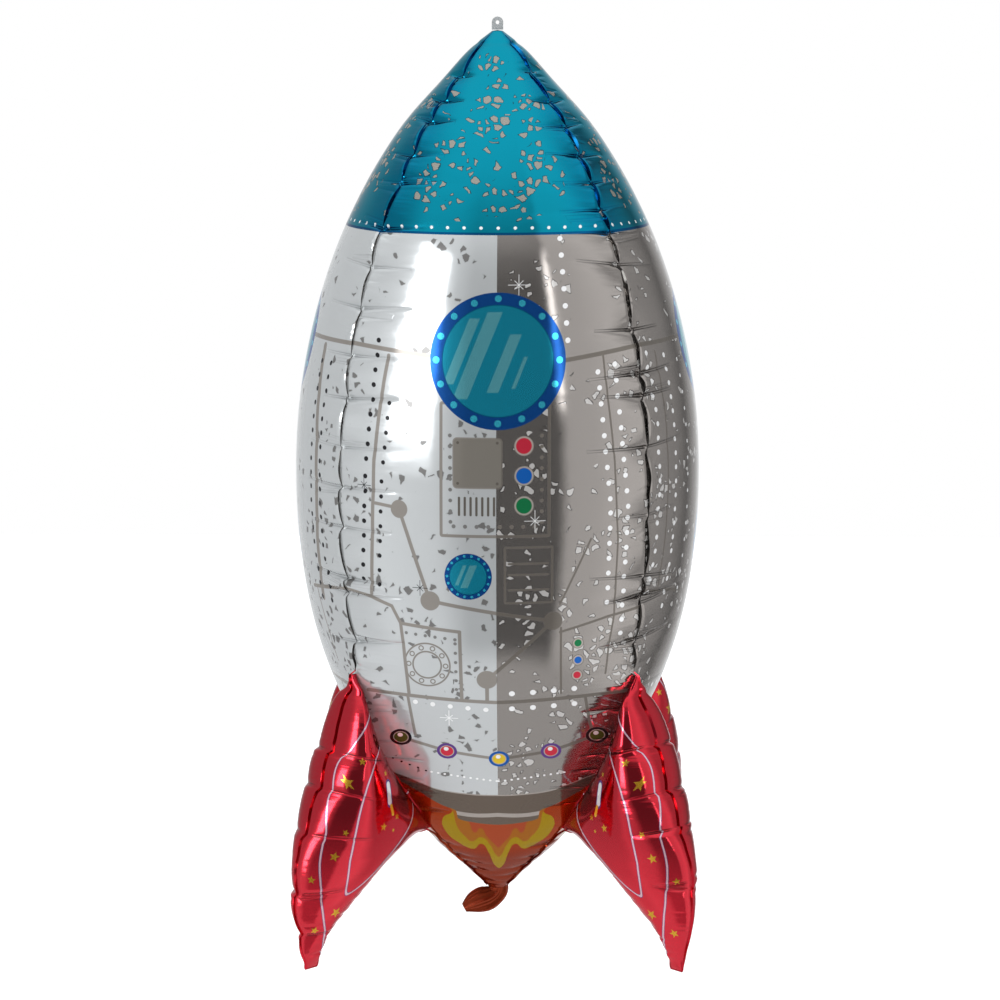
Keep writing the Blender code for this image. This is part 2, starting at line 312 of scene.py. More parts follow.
@dataclass
class Puckers:
    """Pinches of one seam: lobes of gathered film, each set a little aside of the last, and their folds."""

    seed: int
    start: float
    end: float
    lobe: tuple[float, float] = (0.024, 0.042)
    pinch: float = 0.0028
    sidestep: float = 0.0018
    fold_depth: tuple[float, float] = (0.0007, 0.0015)
    fold_reach: tuple[float, float] = (0.034, 0.060)
    known: tuple[float, ...] = ()
    bounds: Array = field(init=False)
    turns: Array = field(init=False)
    weights: Array = field(init=False)

    def __post_init__(self) -> None:
        """Draws the places of the pinches along the seam."""
        rng = np.random.default_rng(self.seed)
        places = [self.start]
        while not self.known and places[-1] < self.end - self.lobe[0] * 0.6:
            places.append(places[-1] + rng.uniform(*self.lobe))
        places[-1:] = [*places[-1:], *self.known, self.end] if self.known else [self.end]
        self.bounds = np.array(places)
        count = len(places) - 1
        self.turns = np.where(rng.random(count) < 0.8, 1.0, -1.0) * rng.uniform(0.5, 1.15, count)
        self.weights = rng.uniform(0.55, 1.25, count + 1)

    def phase(self, along: Array) -> tuple[Array, Array]:
        """Lobe number and place within the lobe, 0 to 1, of lengths along the seam."""
        i = np.clip(np.searchsorted(self.bounds, along, side="right") - 1, 0, len(self.bounds) - 2)
        return i, np.clip((along - self.bounds[i]) / (self.bounds[i + 1] - self.bounds[i]), 0, 1)

    def pull(self, along: Array) -> Array:
        """Share by which the seam is drawn in: 1 at an average pinch and 0 in the middle of a lobe."""
        i, s = self.phase(along)
        weight = self.weights[i] * (1 - s) + self.weights[i + 1] * s
        return weight * (1 - np.sin(np.pi * s) ** 0.75)

    def aside(self, along: Array) -> Array:
        """Sideways shift of the seam, a slow drift along each lobe and a quick step back at its end."""
        i, s = self.phase(along)
        quick = 0.10
        drift = np.where(s < quick, 0.5 - s / quick, (s - quick) / (1 - quick) - 0.5)
        return drift * self.turns[i] * 2 * self.sidestep

    def folds(self, side: int) -> list[Crease]:
        """Folds that the seam sends into the film of one side, one at each pinch and small ones between."""
        rng = np.random.default_rng(self.seed * 7 + side + 3)
        made = []
        for place, strength in zip(self.bounds[1:-1], self.weights[1:-1]):
            depth = rng.uniform(*self.fold_depth) * strength
            reach = rng.uniform(*self.fold_reach)
            made.append(Crease(place, depth, reach, rng.uniform(0.0019, 0.0028), rng.normal(-0.02, 0.05)))
            if rng.random() < 0.5:
                near = place + rng.choice([-1, 1]) * rng.uniform(0.004, 0.009)
                reach *= rng.uniform(0.5, 0.9)
                made.append(Crease(near, depth * 0.6, reach, 0.0018, rng.normal(0, 0.08)))
        for start, span in zip(self.bounds, np.diff(self.bounds)):
            for share in rng.uniform(0.15, 0.85, rng.integers(0, 4)):
                depth, reach = rng.uniform(0.0002, 0.0005), rng.uniform(0.006, 0.016)
                made.append(Crease(start + share * span, depth, reach, 0.0015, rng.normal(0, 0.25)))
        return made


def grid_faces(rows: int, columns: int, flip: bool) -> Array:
    """Quads of a grid of points, row by row."""
    a = (np.arange(rows - 1)[:, None] * columns + np.arange(columns - 1)[None, :]).ravel()
    quads = np.stack([a, a + columns, a + columns + 1, a + 1], 1)
    return quads[:, ::-1] if flip else quads


def grid_normals(points: Array) -> Array:
    """Normals of a grid of points, by the cross product of its two directions."""
    down = np.gradient(points, axis=0)
    over = np.gradient(points, axis=1)
    normals = np.cross(down, over)
    length = np.linalg.norm(normals, axis=2, keepdims=True)
    return normals / np.maximum(length, 1e-12)


def turned(points: Array, quarter_turns: float) -> Array:
    """Points turned about the axis by quarter turns."""
    a = quarter_turns * math.pi / 2
    c, s = math.cos(a), math.sin(a)
    out = points.copy()
    out[..., 0] = points[..., 0] * c - points[..., 1] * s
    out[..., 1] = points[..., 0] * s + points[..., 1] * c
    return out


def run_along(path: Array) -> Array:
    """Lengths along a path up to each of its points."""
    return np.concatenate([[0], np.cumsum(np.linalg.norm(np.diff(path, axis=0), axis=1))])


def outward(path: Array) -> Array:
    """Unit vectors to the left of a path in a plane, which is outside of one that runs down an edge."""
    tangent = np.gradient(path, axis=0)
    tangent /= np.linalg.norm(tangent, axis=1, keepdims=True)
    return np.stack([tangent[:, 1], -tangent[:, 0]], -1)


def from_corner(places: Array, start: float = -TIP_BELOW_HOLE) -> Array:
    """Points of places (distance from the axis, depth, sideways) at the front right corner."""
    diagonal = math.sin(math.pi / 4)
    radial, normal = np.array([diagonal, -diagonal, 0]), np.array([diagonal, diagonal, 0])
    points = places[..., :1] * radial + places[..., 2:] * normal
    points[..., 2] = start - places[..., 1]
    return points


def spread_to_ends(count: int, ends: float) -> Array:
    """Places from -1 to 1, closer together towards both ends."""
    t = np.linspace(-1, 1, count)
    return t * (1 - ends) + np.sin(t * math.pi / 2) * ends


def register(piece: bpy.types.Object, replaces: Sequence[str]) -> None:
    """Sets a piece on the body, in place of its CAD nodes."""
    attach(piece, "root")
    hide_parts(*replaces)
    LOG.info("%s: %d faces", piece.name, len(piece.data.polygons))


def placed(name: str, data: bpy.types.ID) -> bpy.types.Object:
    """New object in the scene, made of a mesh, camera or light."""
    made = bpy.data.objects.new(name, data)
    bpy.context.scene.collection.objects.link(made)
    return made


@dataclass
class FilmGrid:
    """Grid of points of one piece of film, with their normals and their maps in pairs of numbers."""

    points: Array
    normals: Array
    maps: dict[str, Array]
    flip: bool = False

    def part(self, rows: slice) -> "FilmGrid":
        """Some rows of the grid."""
        maps = {label: pairs[rows] for label, pairs in self.maps.items()}
        return FilmGrid(self.points[rows], self.normals[rows], maps, self.flip)

    def build(self, name: str, material: bpy.types.Material, node: str, slot: str) -> None:
        """Makes the piece and sets it on the body.

        Args:
            name: Name of the piece.
            material: Its finish.
            node: CAD node that it stands for.
            slot: Slot of the record that it takes its finish from; not used.
        """
        mesh = bpy.data.meshes.new(name)
        faces = grid_faces(*self.points.shape[:2], self.flip)
        mesh.from_pydata(self.points.reshape(-1, 3).tolist(), [], faces.tolist())
        corners = np.empty(len(mesh.loops), dtype=np.int32)
        mesh.loops.foreach_get("vertex_index", corners)
        for label, pairs in self.maps.items():
            layer = mesh.uv_layers.new(name=label)
            layer.data.foreach_set("uv", pairs.reshape(-1, 2)[corners].astype(np.float32).ravel())
        mesh.polygons.foreach_set("use_smooth", np.ones(len(mesh.polygons), dtype=bool))
        mesh.materials.append(material)
        mesh.validate()
        mesh.normals_split_custom_set_from_vertices(self.normals.reshape(-1, 3).tolist())
        register(placed(name, mesh), [node])


@dataclass
class Sketch:
    """Node tree being drawn: a thin hand for placing nodes and joining their sockets."""

    tree: bpy.types.NodeTree

    def node(self, kind: str, feeds: Feeds | None = None, **settings: object) -> bpy.types.Node:
        """Adds a node.

        Args:
            kind: Its type.
            feeds: What its inputs get.
            settings: Its properties.

        Returns:
            The node.
        """
        made = self.tree.nodes.new(kind)
        for key, setting in settings.items():
            setattr(made, key, setting)
        for key, value in (feeds or {}).items():
            self.feed(made.inputs[key], value)
        return made

    def feed(self, target: Socket, value: Feed) -> None:
        """Joins a socket to a target, or sets the target's own value."""
        if isinstance(value, bpy.types.NodeSocket):
            self.tree.links.new(value, target)
        elif isinstance(value, Tone):
            target.default_value = (*value.value, 1.0)
        else:
            target.default_value = value

    def math(self, operation: str, *values: Feed) -> Socket:
        """Number from a math node."""
        return self.node("ShaderNodeMath", dict(enumerate(values)), operation=operation).outputs[0]

    def mul(self, a: Feed, b: Feed) -> Socket:
        """Product of two numbers."""
        return self.math("MULTIPLY", a, b)

    def add(self, a: Feed, b: Feed) -> Socket:
        """Sum of two numbers."""
        return self.math("ADD", a, b)

    def sub(self, a: Feed, b: Feed) -> Socket:
        """First number less the second."""
        return self.math("SUBTRACT", a, b)

    def div(self, a: Feed, b: Feed) -> Socket:
        """First number divided by the second."""
        return self.math("DIVIDE", a, b)

    def held(self, value: Feed, top: Feed = 1.0) -> Socket:
        """Number kept between 0 and a top."""
        return self.math("MINIMUM", self.math("MAXIMUM", value, 0.0), top)

    def vector(self, operation: str, *values: Feed) -> Socket:
        """Vector, or number for a length, distance or dot product, from a vector math node."""
        made = self.node("ShaderNodeVectorMath", dict(enumerate(values)), operation=operation)
        return made.outputs["Value" if operation in ("LENGTH", "DISTANCE", "DOT_PRODUCT") else "Vector"]

    def scaled(self, vector: Feed, scale: Feed) -> Socket:
        """Vector times a number."""
        return self.node("ShaderNodeVectorMath", {0: vector, "Scale": scale}, operation="SCALE").outputs["Vector"]

    def split(self, vector: Socket) -> tuple[Socket, Socket, Socket]:
        """The three numbers of a vector."""
        made = self.node("ShaderNodeSeparateXYZ", {0: vector})
        return made.outputs[0], made.outputs[1], made.outputs[2]

    def join(self, x: Feed, y: Feed, z: Feed = 0.0) -> Socket:
        """Vector from three numbers."""
        return self.node("ShaderNodeCombineXYZ", {0: x, 1: y, 2: z}).outputs[0]

    def step(self, value: Feed, low: float, high: float) -> Socket:
        """Number that goes smoothly from 0 at the low value to 1 at the high one, and stays between."""
        feeds = {"Value": value, "From Min": low, "From Max": high}
        return self.node("ShaderNodeMapRange", feeds, interpolation_type="SMOOTHSTEP", clamp=False).outputs["Result"]

    def over(self, under: Feed, ink: Feed, mask: Feed) -> Socket:
        """Colour of an ink laid over another where the mask is 1."""
        return self.node("ShaderNodeMix", {"Factor": mask, "A": under, "B": ink}, data_type="RGBA").outputs["Result"]

    def blend(self, a: Feed, b: Feed, mask: Feed) -> Socket:
        """Number between two others by a mask."""
        return self.node("ShaderNodeMix", {"Factor": mask, "A": a, "B": b}, data_type="FLOAT").outputs["Result"]

    def noise(self, place: Socket, scale: float, detail: float, dimensions: str = "2D") -> bpy.types.Node:
        """Noise texture."""
        feeds = {"Vector": place, "Scale": scale, "Detail": detail}
        return self.node("ShaderNodeTexNoise", feeds, noise_dimensions=dimensions)

    def bump(self, distance: float, height: Socket) -> bpy.types.Node:
        """Bump of a height, at its full strength."""
        return self.node("ShaderNodeBump", {"Strength": 1.0, "Distance": distance, "Height": height})

    def own_map(self, layer: str) -> Socket:
        """The piece's own map of this name."""
        return self.node("ShaderNodeUVMap", uv_map=layer).outputs[0]

    def curve(self, value: Socket, points: Curve) -> Socket:
        """Smooth function of a number through points, whose first numbers rise."""
        low, high = points[0][0], points[-1][0]
        least = min(y for _, y in points)
        reach = max(max(y for _, y in points) - least, 1e-6)
        share = self.held(self.div(self.sub(value, low), high - low))
        scaled = [((x - low) / (high - low), (y - least) / reach) for x, y in points]
        return self.math("MULTIPLY_ADD", self.knots(share, scaled, "AUTO"), reach, least)

    def knots(self, share: Socket, points: Sequence[tuple[float, float]], handle: str) -> Socket:
        """Curve node of a number from 0 to 1, through points from 0 to 1 with handles of this kind."""
        made = self.node("ShaderNodeFloatCurve", {"Value": share})
        curve = made.mapping.curves[0].points
        curve[0].location, curve[1].location = points[0], points[-1]
        for place in points[1:-1]:
            curve.new(*place).handle_type = handle
        made.mapping.update()
        return made.outputs[0]

    def group(self, tree: bpy.types.NodeTree, **values: Feed) -> bpy.types.Node:
        """Places a node group with its inputs, whose names have spaces for underscores."""
        feeds = {key.replace("_", " "): value for key, value in values.items()}
        return self.node("ShaderNodeGroup", feeds, node_tree=tree)


class PrintShapes:
    """Shader groups that give the masks of printed shapes, all in film millimetres."""

    soft = 0.22
    star_waist = 0.42
    vectors = ("Film", "Centre", "From", "To", "Half size", "Place")

    def __init__(self) -> None:
        """Builds every group once."""
        self.disc = self.group("disc", self.draw_disc, "Film", "Centre", "Radius")
        self.ring = self.group("ring", self.draw_ring, "Film", "Centre", "Radius", "Half width")
        self.stroke = self.group("stroke", self.draw_stroke, "Film", "From", "To", "Half width")
        self.plate = self.group("plate", self.draw_plate, "Film", "Centre", "Half size", "Corner", "Half width")
        self.rivet_line = self.group("rivet_line", self.draw_rivet_line, "Film", "From", "To", "Pitch", "Radius")
        self.rivet_ring = self.group(
            "rivet_ring", self.draw_rivet_ring, "Film", "Centre", "Circle", "Count", "Radius"
        )
        self.flakes = self.group("flakes", self.draw_flakes, "Film", "Cell", "Share")
        self.star = self.group("star", self.draw_star, "Film", "Centre", "Radius", "Turn")
        self.crinkle = self.group("crinkle", self.draw_crinkle, "Film", "Edge")
        self.crease = self.group("crease", self.draw_crease, "Offset", "Strength")
        self.film_grain = self.group("film_grain", self.draw_film_grain, "Place", "Roughness")

    def group(self, name: str, draw: Callable[[Sketch, Sockets], Sockets], *inputs: str) -> bpy.types.NodeTree:
        """Shader group with named sockets.

        Args:
            name: Name of the group.
            draw: Draws it from its inputs, and gives its outputs by name.
            inputs: Names of its inputs, which are numbers or, where listed so, vectors.

        Returns:
            The group.
        """
        tree = bpy.data.node_groups.new(name, "ShaderNodeTree")
        for label in inputs:
            kind = "NodeSocketVector" if label in self.vectors else "NodeSocketFloat"
            tree.interface.new_socket(label, in_out="INPUT", socket_type=kind)
        s = Sketch(tree)
        source = s.node("NodeGroupInput")
        drawn = draw(s, {socket.name: socket for socket in source.outputs if socket.name})
        for label in drawn:
            tree.interface.new_socket(label, in_out="OUTPUT", socket_type="NodeSocketFloat")
        s.node("NodeGroupOutput", drawn)
        return tree

    def within(self, s: Sketch, past: Socket) -> Socket:
        """Mask of the inside of an outline, by the distance past it."""
        return s.step(past, self.soft, -self.soft)

    def beside(self, s: Sketch, past: Socket, half_width: Socket) -> Socket:
        """Mask of a line along an outline, by the distance past it."""
        return self.within(s, s.sub(s.math("ABSOLUTE", past), half_width))

    def past_circle(self, s: Sketch, i: Sockets) -> Socket:
        """Distance past a circle."""
        return s.sub(s.vector("DISTANCE", i["Film"], i["Centre"]), i["Radius"])

    def from_end(self, s: Sketch, i: Sockets) -> tuple[Socket, Socket]:
        """Vectors from a line's start to its end, and to the film place."""
        return s.vector("SUBTRACT", i["To"], i["From"]), s.vector("SUBTRACT", i["Film"], i["From"])

    def nearest(self, s: Sketch, value: Socket, pitch: Feed) -> Socket:
        """Multiple of a pitch that is nearest to a number."""
        return s.mul(s.math("ROUND", s.div(value, pitch)), pitch)

    def draw_disc(self, s: Sketch, i: Sockets) -> Sockets:
        """Filled circle."""
        return {"Mask": self.within(s, self.past_circle(s, i))}

    def draw_ring(self, s: Sketch, i: Sockets) -> Sockets:
        """Circle line."""
        return {"Mask": self.beside(s, self.past_circle(s, i), i["Half width"])}

    def draw_stroke(self, s: Sketch, i: Sockets) -> Sockets:
        """Straight line with round ends."""
        line, place = self.from_end(s, i)
        along = s.div(s.vector("DOT_PRODUCT", place, line), s.vector("DOT_PRODUCT", line, line))
        near = s.scaled(line, s.held(along))
        return {"Mask": self.within(s, s.sub(s.vector("DISTANCE", place, near), i["Half width"]))}

    def draw_plate(self, s: Sketch, i: Sockets) -> Sockets:
        """Rounded rectangle: its face, and a line along its edge."""
        place = s.vector("ABSOLUTE", s.vector("SUBTRACT", i["Film"], i["Centre"]))
        corner = s.join(i["Corner"], i["Corner"])
        x, y, _ = s.split(s.vector("ADD", s.vector("SUBTRACT", place, i["Half size"]), corner))
        outside = s.join(s.math("MAXIMUM", x, 0.0), s.math("MAXIMUM", y, 0.0))
        inside = s.math("MINIMUM", s.math("MAXIMUM", x, y), 0.0)
        past = s.sub(s.add(s.vector("LENGTH", outside), inside), i["Corner"])
        return {"Face": self.within(s, past), "Edge": self.beside(s, past, i["Half width"])}

    def draw_rivet_line(self, s: Sketch, i: Sockets) -> Sockets:
        """Row of dots at a pitch between two ends."""
        line, place = self.from_end(s, i)
        unit = s.vector("NORMALIZE", line)
        along = s.held(s.vector("DOT_PRODUCT", place, unit), s.vector("LENGTH", line))
        dot = s.scaled(unit, self.nearest(s, along, i["Pitch"]))
        return {"Mask": self.within(s, s.sub(s.vector("DISTANCE", place, dot), i["Radius"]))}

    def draw_rivet_ring(self, s: Sketch, i: Sockets) -> Sockets:
        """Dots at even angles on a circle."""
        place = s.vector("SUBTRACT", i["Film"], i["Centre"])
        x, y, _ = s.split(place)
        angle = self.nearest(s, s.math("ARCTAN2", y, x), s.div(2 * math.pi, i["Count"]))
        dot = s.scaled(s.join(s.math("COSINE", angle), s.math("SINE", angle)), i["Circle"])
        return {"Mask": self.within(s, s.sub(s.vector("DISTANCE", place, dot), i["Radius"]))}

    def draw_flakes(self, s: Sketch, i: Sockets) -> Sockets:
        """Scattered broken flakes of ink: their faces, and a thin line round them."""
        wander = s.noise(s.scaled(i["Film"], 0.16), 1.0, 2.0)
        bent = s.vector("ADD", i["Film"], s.scaled(wander.outputs["Color"], 3.2))
        feeds = {"Vector": s.scaled(bent, s.div(1.0, i["Cell"])), "Scale": 1.0}
        cell, edge = (
            s.node("ShaderNodeTexVoronoi", feeds, voronoi_dimensions="2D", feature=feature)
            for feature in ("F1", "DISTANCE_TO_EDGE")
        )
        chosen, size, _ = s.split(cell.outputs["Color"])
        shown = s.math("LESS_THAN", chosen, i["Share"])
        inside = s.sub(edge.outputs["Distance"], s.math("MULTIPLY_ADD", size, 0.23, 0.13))
        face = s.mul(s.step(inside, -0.015, 0.015), shown)
        return {"Face": face, "Line": s.sub(s.mul(s.step(inside, -0.09, -0.06), shown), face)}

    def draw_star(self, s: Sketch, i: Sockets) -> Sockets:
        """Five-pointed star."""
        x, y, _ = s.split(s.vector("SUBTRACT", i["Film"], i["Centre"]))
        fifth = 2 * math.pi / 5
        angle = s.add(s.math("ARCTAN2", y, x), i["Turn"])
        fold = s.math("ABSOLUTE", s.sub(angle, self.nearest(s, angle, fifth)))
        inner_x, inner_y = self.star_waist * math.cos(fifth / 2), self.star_waist * math.sin(fifth / 2)
        slant = s.sub(s.mul(s.math("COSINE", fold), inner_y), s.mul(s.math("SINE", fold), inner_x - 1))
        reach = s.mul(s.div(inner_y, slant), i["Radius"])
        return {"Mask": self.within(s, s.sub(s.vector("LENGTH", s.join(x, y)), reach))}

    def draw_crinkle(self, s: Sketch, i: Sockets) -> Sockets:
        """Height of the fine crinkles that a gathered edge sends into the film, along its first direction."""
        total: Feed = 0.0
        for long, short, size in ((52.0, 6.0, 0.7), (22.0, 2.4, 0.13)):
            wave = s.noise(s.vector("MULTIPLY", i["Film"], (1 / long, 1 / short, 0.0)), 1.0, 2.0)
            total = s.math("MULTIPLY_ADD", wave.outputs["Fac"], size, total)
        return {"Height": s.mul(total, i["Edge"])}

    def draw_crease(self, s: Sketch, i: Sockets) -> Sockets:
        """Sharp line of a fold: its height, and the mask of painted shade on the pair of walls beside its bottom."""
        drawn = {}
        for name, middle, half, size in (("Height", 0.0, 0.0008, -1.1), ("Walls", 0.0009, 0.00045, 1.0)):
            away = s.div(s.sub(s.math("ABSOLUTE", i["Offset"]), middle), half)
            bell = s.math("EXPONENT", s.mul(s.mul(away, away), -1.0))
            drawn[name] = s.mul(s.mul(bell, size), i["Strength"])
        return drawn

    def draw_film_grain(self, s: Sketch, i: Sockets) -> Sockets:
        """Fine unevenness of the stretched film: a height for its bump, and a roughness."""
        slow = s.noise(i["Place"], 28.0, 2.0, "3D").outputs["Fac"]
        fast = s.noise(i["Place"], 160.0, 3.0, "3D").outputs["Fac"]
        return {
            "Height": s.math("MULTIPLY_ADD", fast, 0.14, slow),
            "Roughness": s.math("MULTIPLY_ADD", fast, 0.05, i["Roughness"]),
        }


@dataclass
class Coat:
    """Print in the making: its colour, how far its inks hide the metal, and where the film is crinkled."""

    sketch: Sketch
    shapes: PrintShapes
    colour: Feed = Tone.SILVER
    cover: Feed = 0.0
    crinkle: Feed = 0.0

    @cached_property
    def film(self) -> Socket:
        """Film place of the shaded point, in millimetres."""
        return self.sketch.scaled(self.sketch.own_map("film"), 1000.0)

    @cached_property
    def creases(self) -> bpy.types.Node:
        """Height of the nearest fold line, and the mask of painted shade on its walls."""
        offset, strength, _ = self.sketch.split(self.sketch.own_map("crease"))
        return self.sketch.group(self.shapes.crease, Offset=offset, Strength=strength)

    def lay(self, ink: Feed, mask: Feed, cover: float | None = 0.0) -> None:
        """Lays an ink where the mask is 1.

        Args:
            ink: Its colour.
            mask: Where it lies.
            cover: How far it hides the metal, from 0 to 1, or None to leave that as it is.
        """
        self.colour = self.sketch.over(self.colour, ink, mask)
        if cover is not None:
            self.cover = self.sketch.blend(self.cover, cover, mask)

    def stamp(self, shape: bpy.types.NodeTree, ink: Feed, cover: float | None, **sizes: Feed) -> None:
        """Lays an ink in a shape, whose inputs have spaces for underscores."""
        self.lay(ink, self.sketch.group(shape, Film=self.film, **sizes).outputs["Mask"], cover)

    def disc(self, x: float, y: float, radius: float, ink: Feed, cover: float | None = 0.5) -> None:
        """Lays a filled circle."""
        self.stamp(self.shapes.disc, ink, cover, Centre=(x, y, 0.0), Radius=radius)

    def ring(self, x: float, y: float, radius: float, half: float, ink: Feed) -> None:
        """Lays a circle line."""
        self.stamp(self.shapes.ring, ink, None, Centre=(x, y, 0.0), Radius=radius, Half_width=half)

    def stroke(self, row: Row, ink: Feed, cover: float | None = 0.5) -> None:
        """Lays a line: the places of its ends, and its half width."""
        ax, ay, bx, by, half = row
        self.stamp(self.shapes.stroke, ink, cover, From=(ax, ay, 0.0), To=(bx, by, 0.0), Half_width=half)

    def rivet_line(self, row: Row, ink: Feed, cover: float | None = 0.6) -> None:
        """Lays a row of rivets: the places of its ends, its pitch, and the radius of a rivet."""
        ax, ay, bx, by, pitch, radius = row
        ends = {"From": (ax, ay, 0.0), "To": (bx, by, 0.0)}
        self.stamp(self.shapes.rivet_line, ink, cover, **ends, Pitch=pitch, Radius=radius)

    def rivet_ring(self, x: float, y: float, circle: float, count: int, radius: float, ink: Feed) -> None:
        """Lays rivets on a circle."""
        sizes = {"Centre": (x, y, 0.0), "Circle": circle, "Count": float(count), "Radius": radius}
        self.stamp(self.shapes.rivet_ring, ink, None, **sizes)

    def flakes(self, cell: float, share: Socket, ink: Feed, cover: float) -> Socket:
        """Lays broken flakes, and gives the mask of the line round them."""
        made = self.sketch.group(self.shapes.flakes, Film=self.film, Cell=cell, Share=share)
        self.lay(ink, made.outputs["Face"], cover)
        return made.outputs["Line"]

    def paint_crease_shade(self, ink: Tone, strength: Feed) -> None:
        """Lays an ink on the walls of the folds: painted shade in the creases."""
        self.lay(ink, self.sketch.mul(self.creases.outputs["Walls"], strength), None)


class FilmPrint(Protocol):
    """Print of a film."""

    def draw(self, coat: Coat) -> None:
        """Draws the print on a coat."""


@dataclass(frozen=True)
class Gloss:
    """Gloss of a printed metallised film."""

    roughness: float = 0.060
    grain: float = 0.00013
    crinkle: float = 0.0006
    coat: float = 0.06
    coat_roughness: float = 0.05
    rim: float = 0.75

    def material(self, name: str, shapes: PrintShapes, film_print: FilmPrint) -> bpy.types.Material:
        """Film material whose colour a print draws.

        Args:
            name: Name of the material.
            shapes: Groups of the print.
            film_print: The print.

        Returns:
            The material.
        """
        made = bpy.data.materials.new(name)
        made.use_nodes = True
        s = Sketch(made.node_tree)
        coat = Coat(s, shapes)
        film_print.draw(coat)
        place = s.node("ShaderNodeTexCoord").outputs["Object"]
        grain = s.group(shapes.film_grain, Place=place, Roughness=self.roughness)
        bump = s.bump(self.grain, grain.outputs["Height"])
        if isinstance(coat.crinkle, bpy.types.NodeSocket):
            waves = s.group(shapes.crinkle, Film=coat.film, Edge=coat.crinkle)
            folds = s.bump(self.crinkle, s.add(coat.creases.outputs["Height"], waves.outputs["Height"]))
            s.feed(bump.inputs["Normal"], folds.outputs["Normal"])
        printed = isinstance(coat.cover, bpy.types.NodeSocket)
        feeds = {
            "Base Color": coat.colour,
            "Roughness": grain.outputs["Roughness"],
            "Metallic": s.sub(1.0, coat.cover) if printed else 1.0 - coat.cover,
            "Coat Weight": self.coat,
            "Coat Roughness": self.coat_roughness,
            "Specular Tint": (self.rim, self.rim, self.rim, 1.0),
            "Normal": bump.outputs["Normal"],
        }
        for label, value in feeds.items():
            s.feed(made.node_tree.nodes["Principled BSDF"].inputs[label], value)
        return made


@dataclass(frozen=True)
class PlainPrint:
    """One ink all over."""

    ink: Tone
    cover: float

    def draw(self, coat: Coat) -> None:
        """Draws the print."""
        coat.colour, coat.cover = self.ink, self.cover


@dataclass(frozen=True)
class NosePrint:
    """Blue nose cone with broken grey flakes and a row of white rivets over its lower edge."""

    flake_cell: float = 6.8
    flake_share: float = 0.50
    flake_cover: float = 0.45
    flakes_begin: tuple[float, float] = (18.0, 34.0)
    flakes_end: tuple[float, float] = (184.0, 174.0)
    rivets: Row = (-127.0, 188.0, 133.0, 188.0, 13.0, 1.3)
    edge_at: float = 191.5

    def draw(self, coat: Coat) -> None:
        """Draws the print."""
        s = coat.sketch
        _, v, _ = s.split(coat.film)
        across, _, _ = s.split(s.own_map("share"))
        aside = s.math("ABSOLUTE", across)
        patch = s.noise(coat.film, 0.040, 1.0)
        crowd = s.mul(s.step(patch.outputs["Fac"], 0.10, 0.55), s.step(aside, 0.98, 0.45))
        share = s.mul(s.math("MULTIPLY_ADD", crowd, 0.90, 0.10), self.flake_share)
        share = s.mul(share, s.mul(s.step(v, *self.flakes_end), s.step(v, *self.flakes_begin)))
        coat.colour = s.over(Tone.TEAL, Tone.TEAL_DEEP, s.mul(s.step(aside, 0.50, 1.0), 0.45))
        coat.crinkle = s.step(aside, 0.55, 1.0)
        line = coat.flakes(self.flake_cell, share, Tone.FLAKE_GREY, self.flake_cover)
        coat.lay(Tone.BLACK, s.mul(line, 0.7))
        coat.rivet_line(self.rivets, Tone.WHITE, 0.7)
        coat.lay(Tone.TEAL_DEEP, s.step(v, self.edge_at, self.edge_at + 0.4))
        # painted shade: deep teal on the walls of the folds
        coat.paint_crease_shade(Tone.TEAL_DEEP, 0.8)


@dataclass(frozen=True)
class Porthole:
    """Round window of the print, with a riveted rim."""

    x: float
    y: float
    radius: float
    rim: float
    rivets: int
    glints: tuple[Row, ...]
    slant: float = 0.4

    def draw(self, coat: Coat) -> None:
        """Lays the window over a coat."""
        inner = self.radius - self.rim
        coat.disc(self.x, self.y, self.radius, Tone.NAVY, 0.25)
        glass = coat.sketch.over(Tone.GLASS, Tone.GLASS_LIGHT, self.shine(coat))
        coat.disc(self.x, self.y, inner, glass, 0.25)
        coat.ring(self.x, self.y, inner, 0.4, Tone.TEAL_DEEP)
        circle = self.radius - self.rim / 2
        coat.rivet_ring(self.x, self.y, circle, self.rivets, self.rim * 0.27, Tone.RIVET_TEAL)

    def shine(self, coat: Coat) -> Socket:
        """Mask of the slanting glints on the glass."""
        s = coat.sketch
        mask: Feed = 0.0
        x, y, _ = s.split(coat.film)
        slanted = s.join(s.math("MULTIPLY_ADD", y, self.slant, x), y)
        for across, along, half_across, half_along in self.glints:
            centre = (self.x + self.slant * self.y + across, self.y + along, 0.0)
            half = (half_across, half_along, 0.0)
            glint = s.group(
                coat.shapes.plate, Film=slanted, Centre=centre, Half_size=half, Corner=0.3, Half_width=0.1
            )
            mask = s.math("MAXIMUM", mask, glint.outputs["Face"])
        return s.mul(mask, 0.7)


# across (slanted), along, half across, half along
WIDE_GLINTS: tuple[Row, ...] = ((-30.5, -7, 4.0, 25), (-17, -4, 5.6, 33), (5.5, 2, 4.4, 22), (20, 9, 1.5, 12))
SMALL_GLINTS: tuple[Row, ...] = ((-6, -1, 1.4, 8), (0.5, 0, 2.8, 9))


def legs(paths: Sequence[Path]) -> list[Row]:
    """Straight lines of paths, each as the places of its ends and its half width."""
    return [(*start, *end, half) for half, *places in paths for start, end in zip(places[:-1], places[1:])]


class PanelKind(Enum):
    """Print of a body panel: instruments and windows on the broad faces, plating alone between them."""

    INSTRUMENTS = "instruments"
    PLATING = "plating"


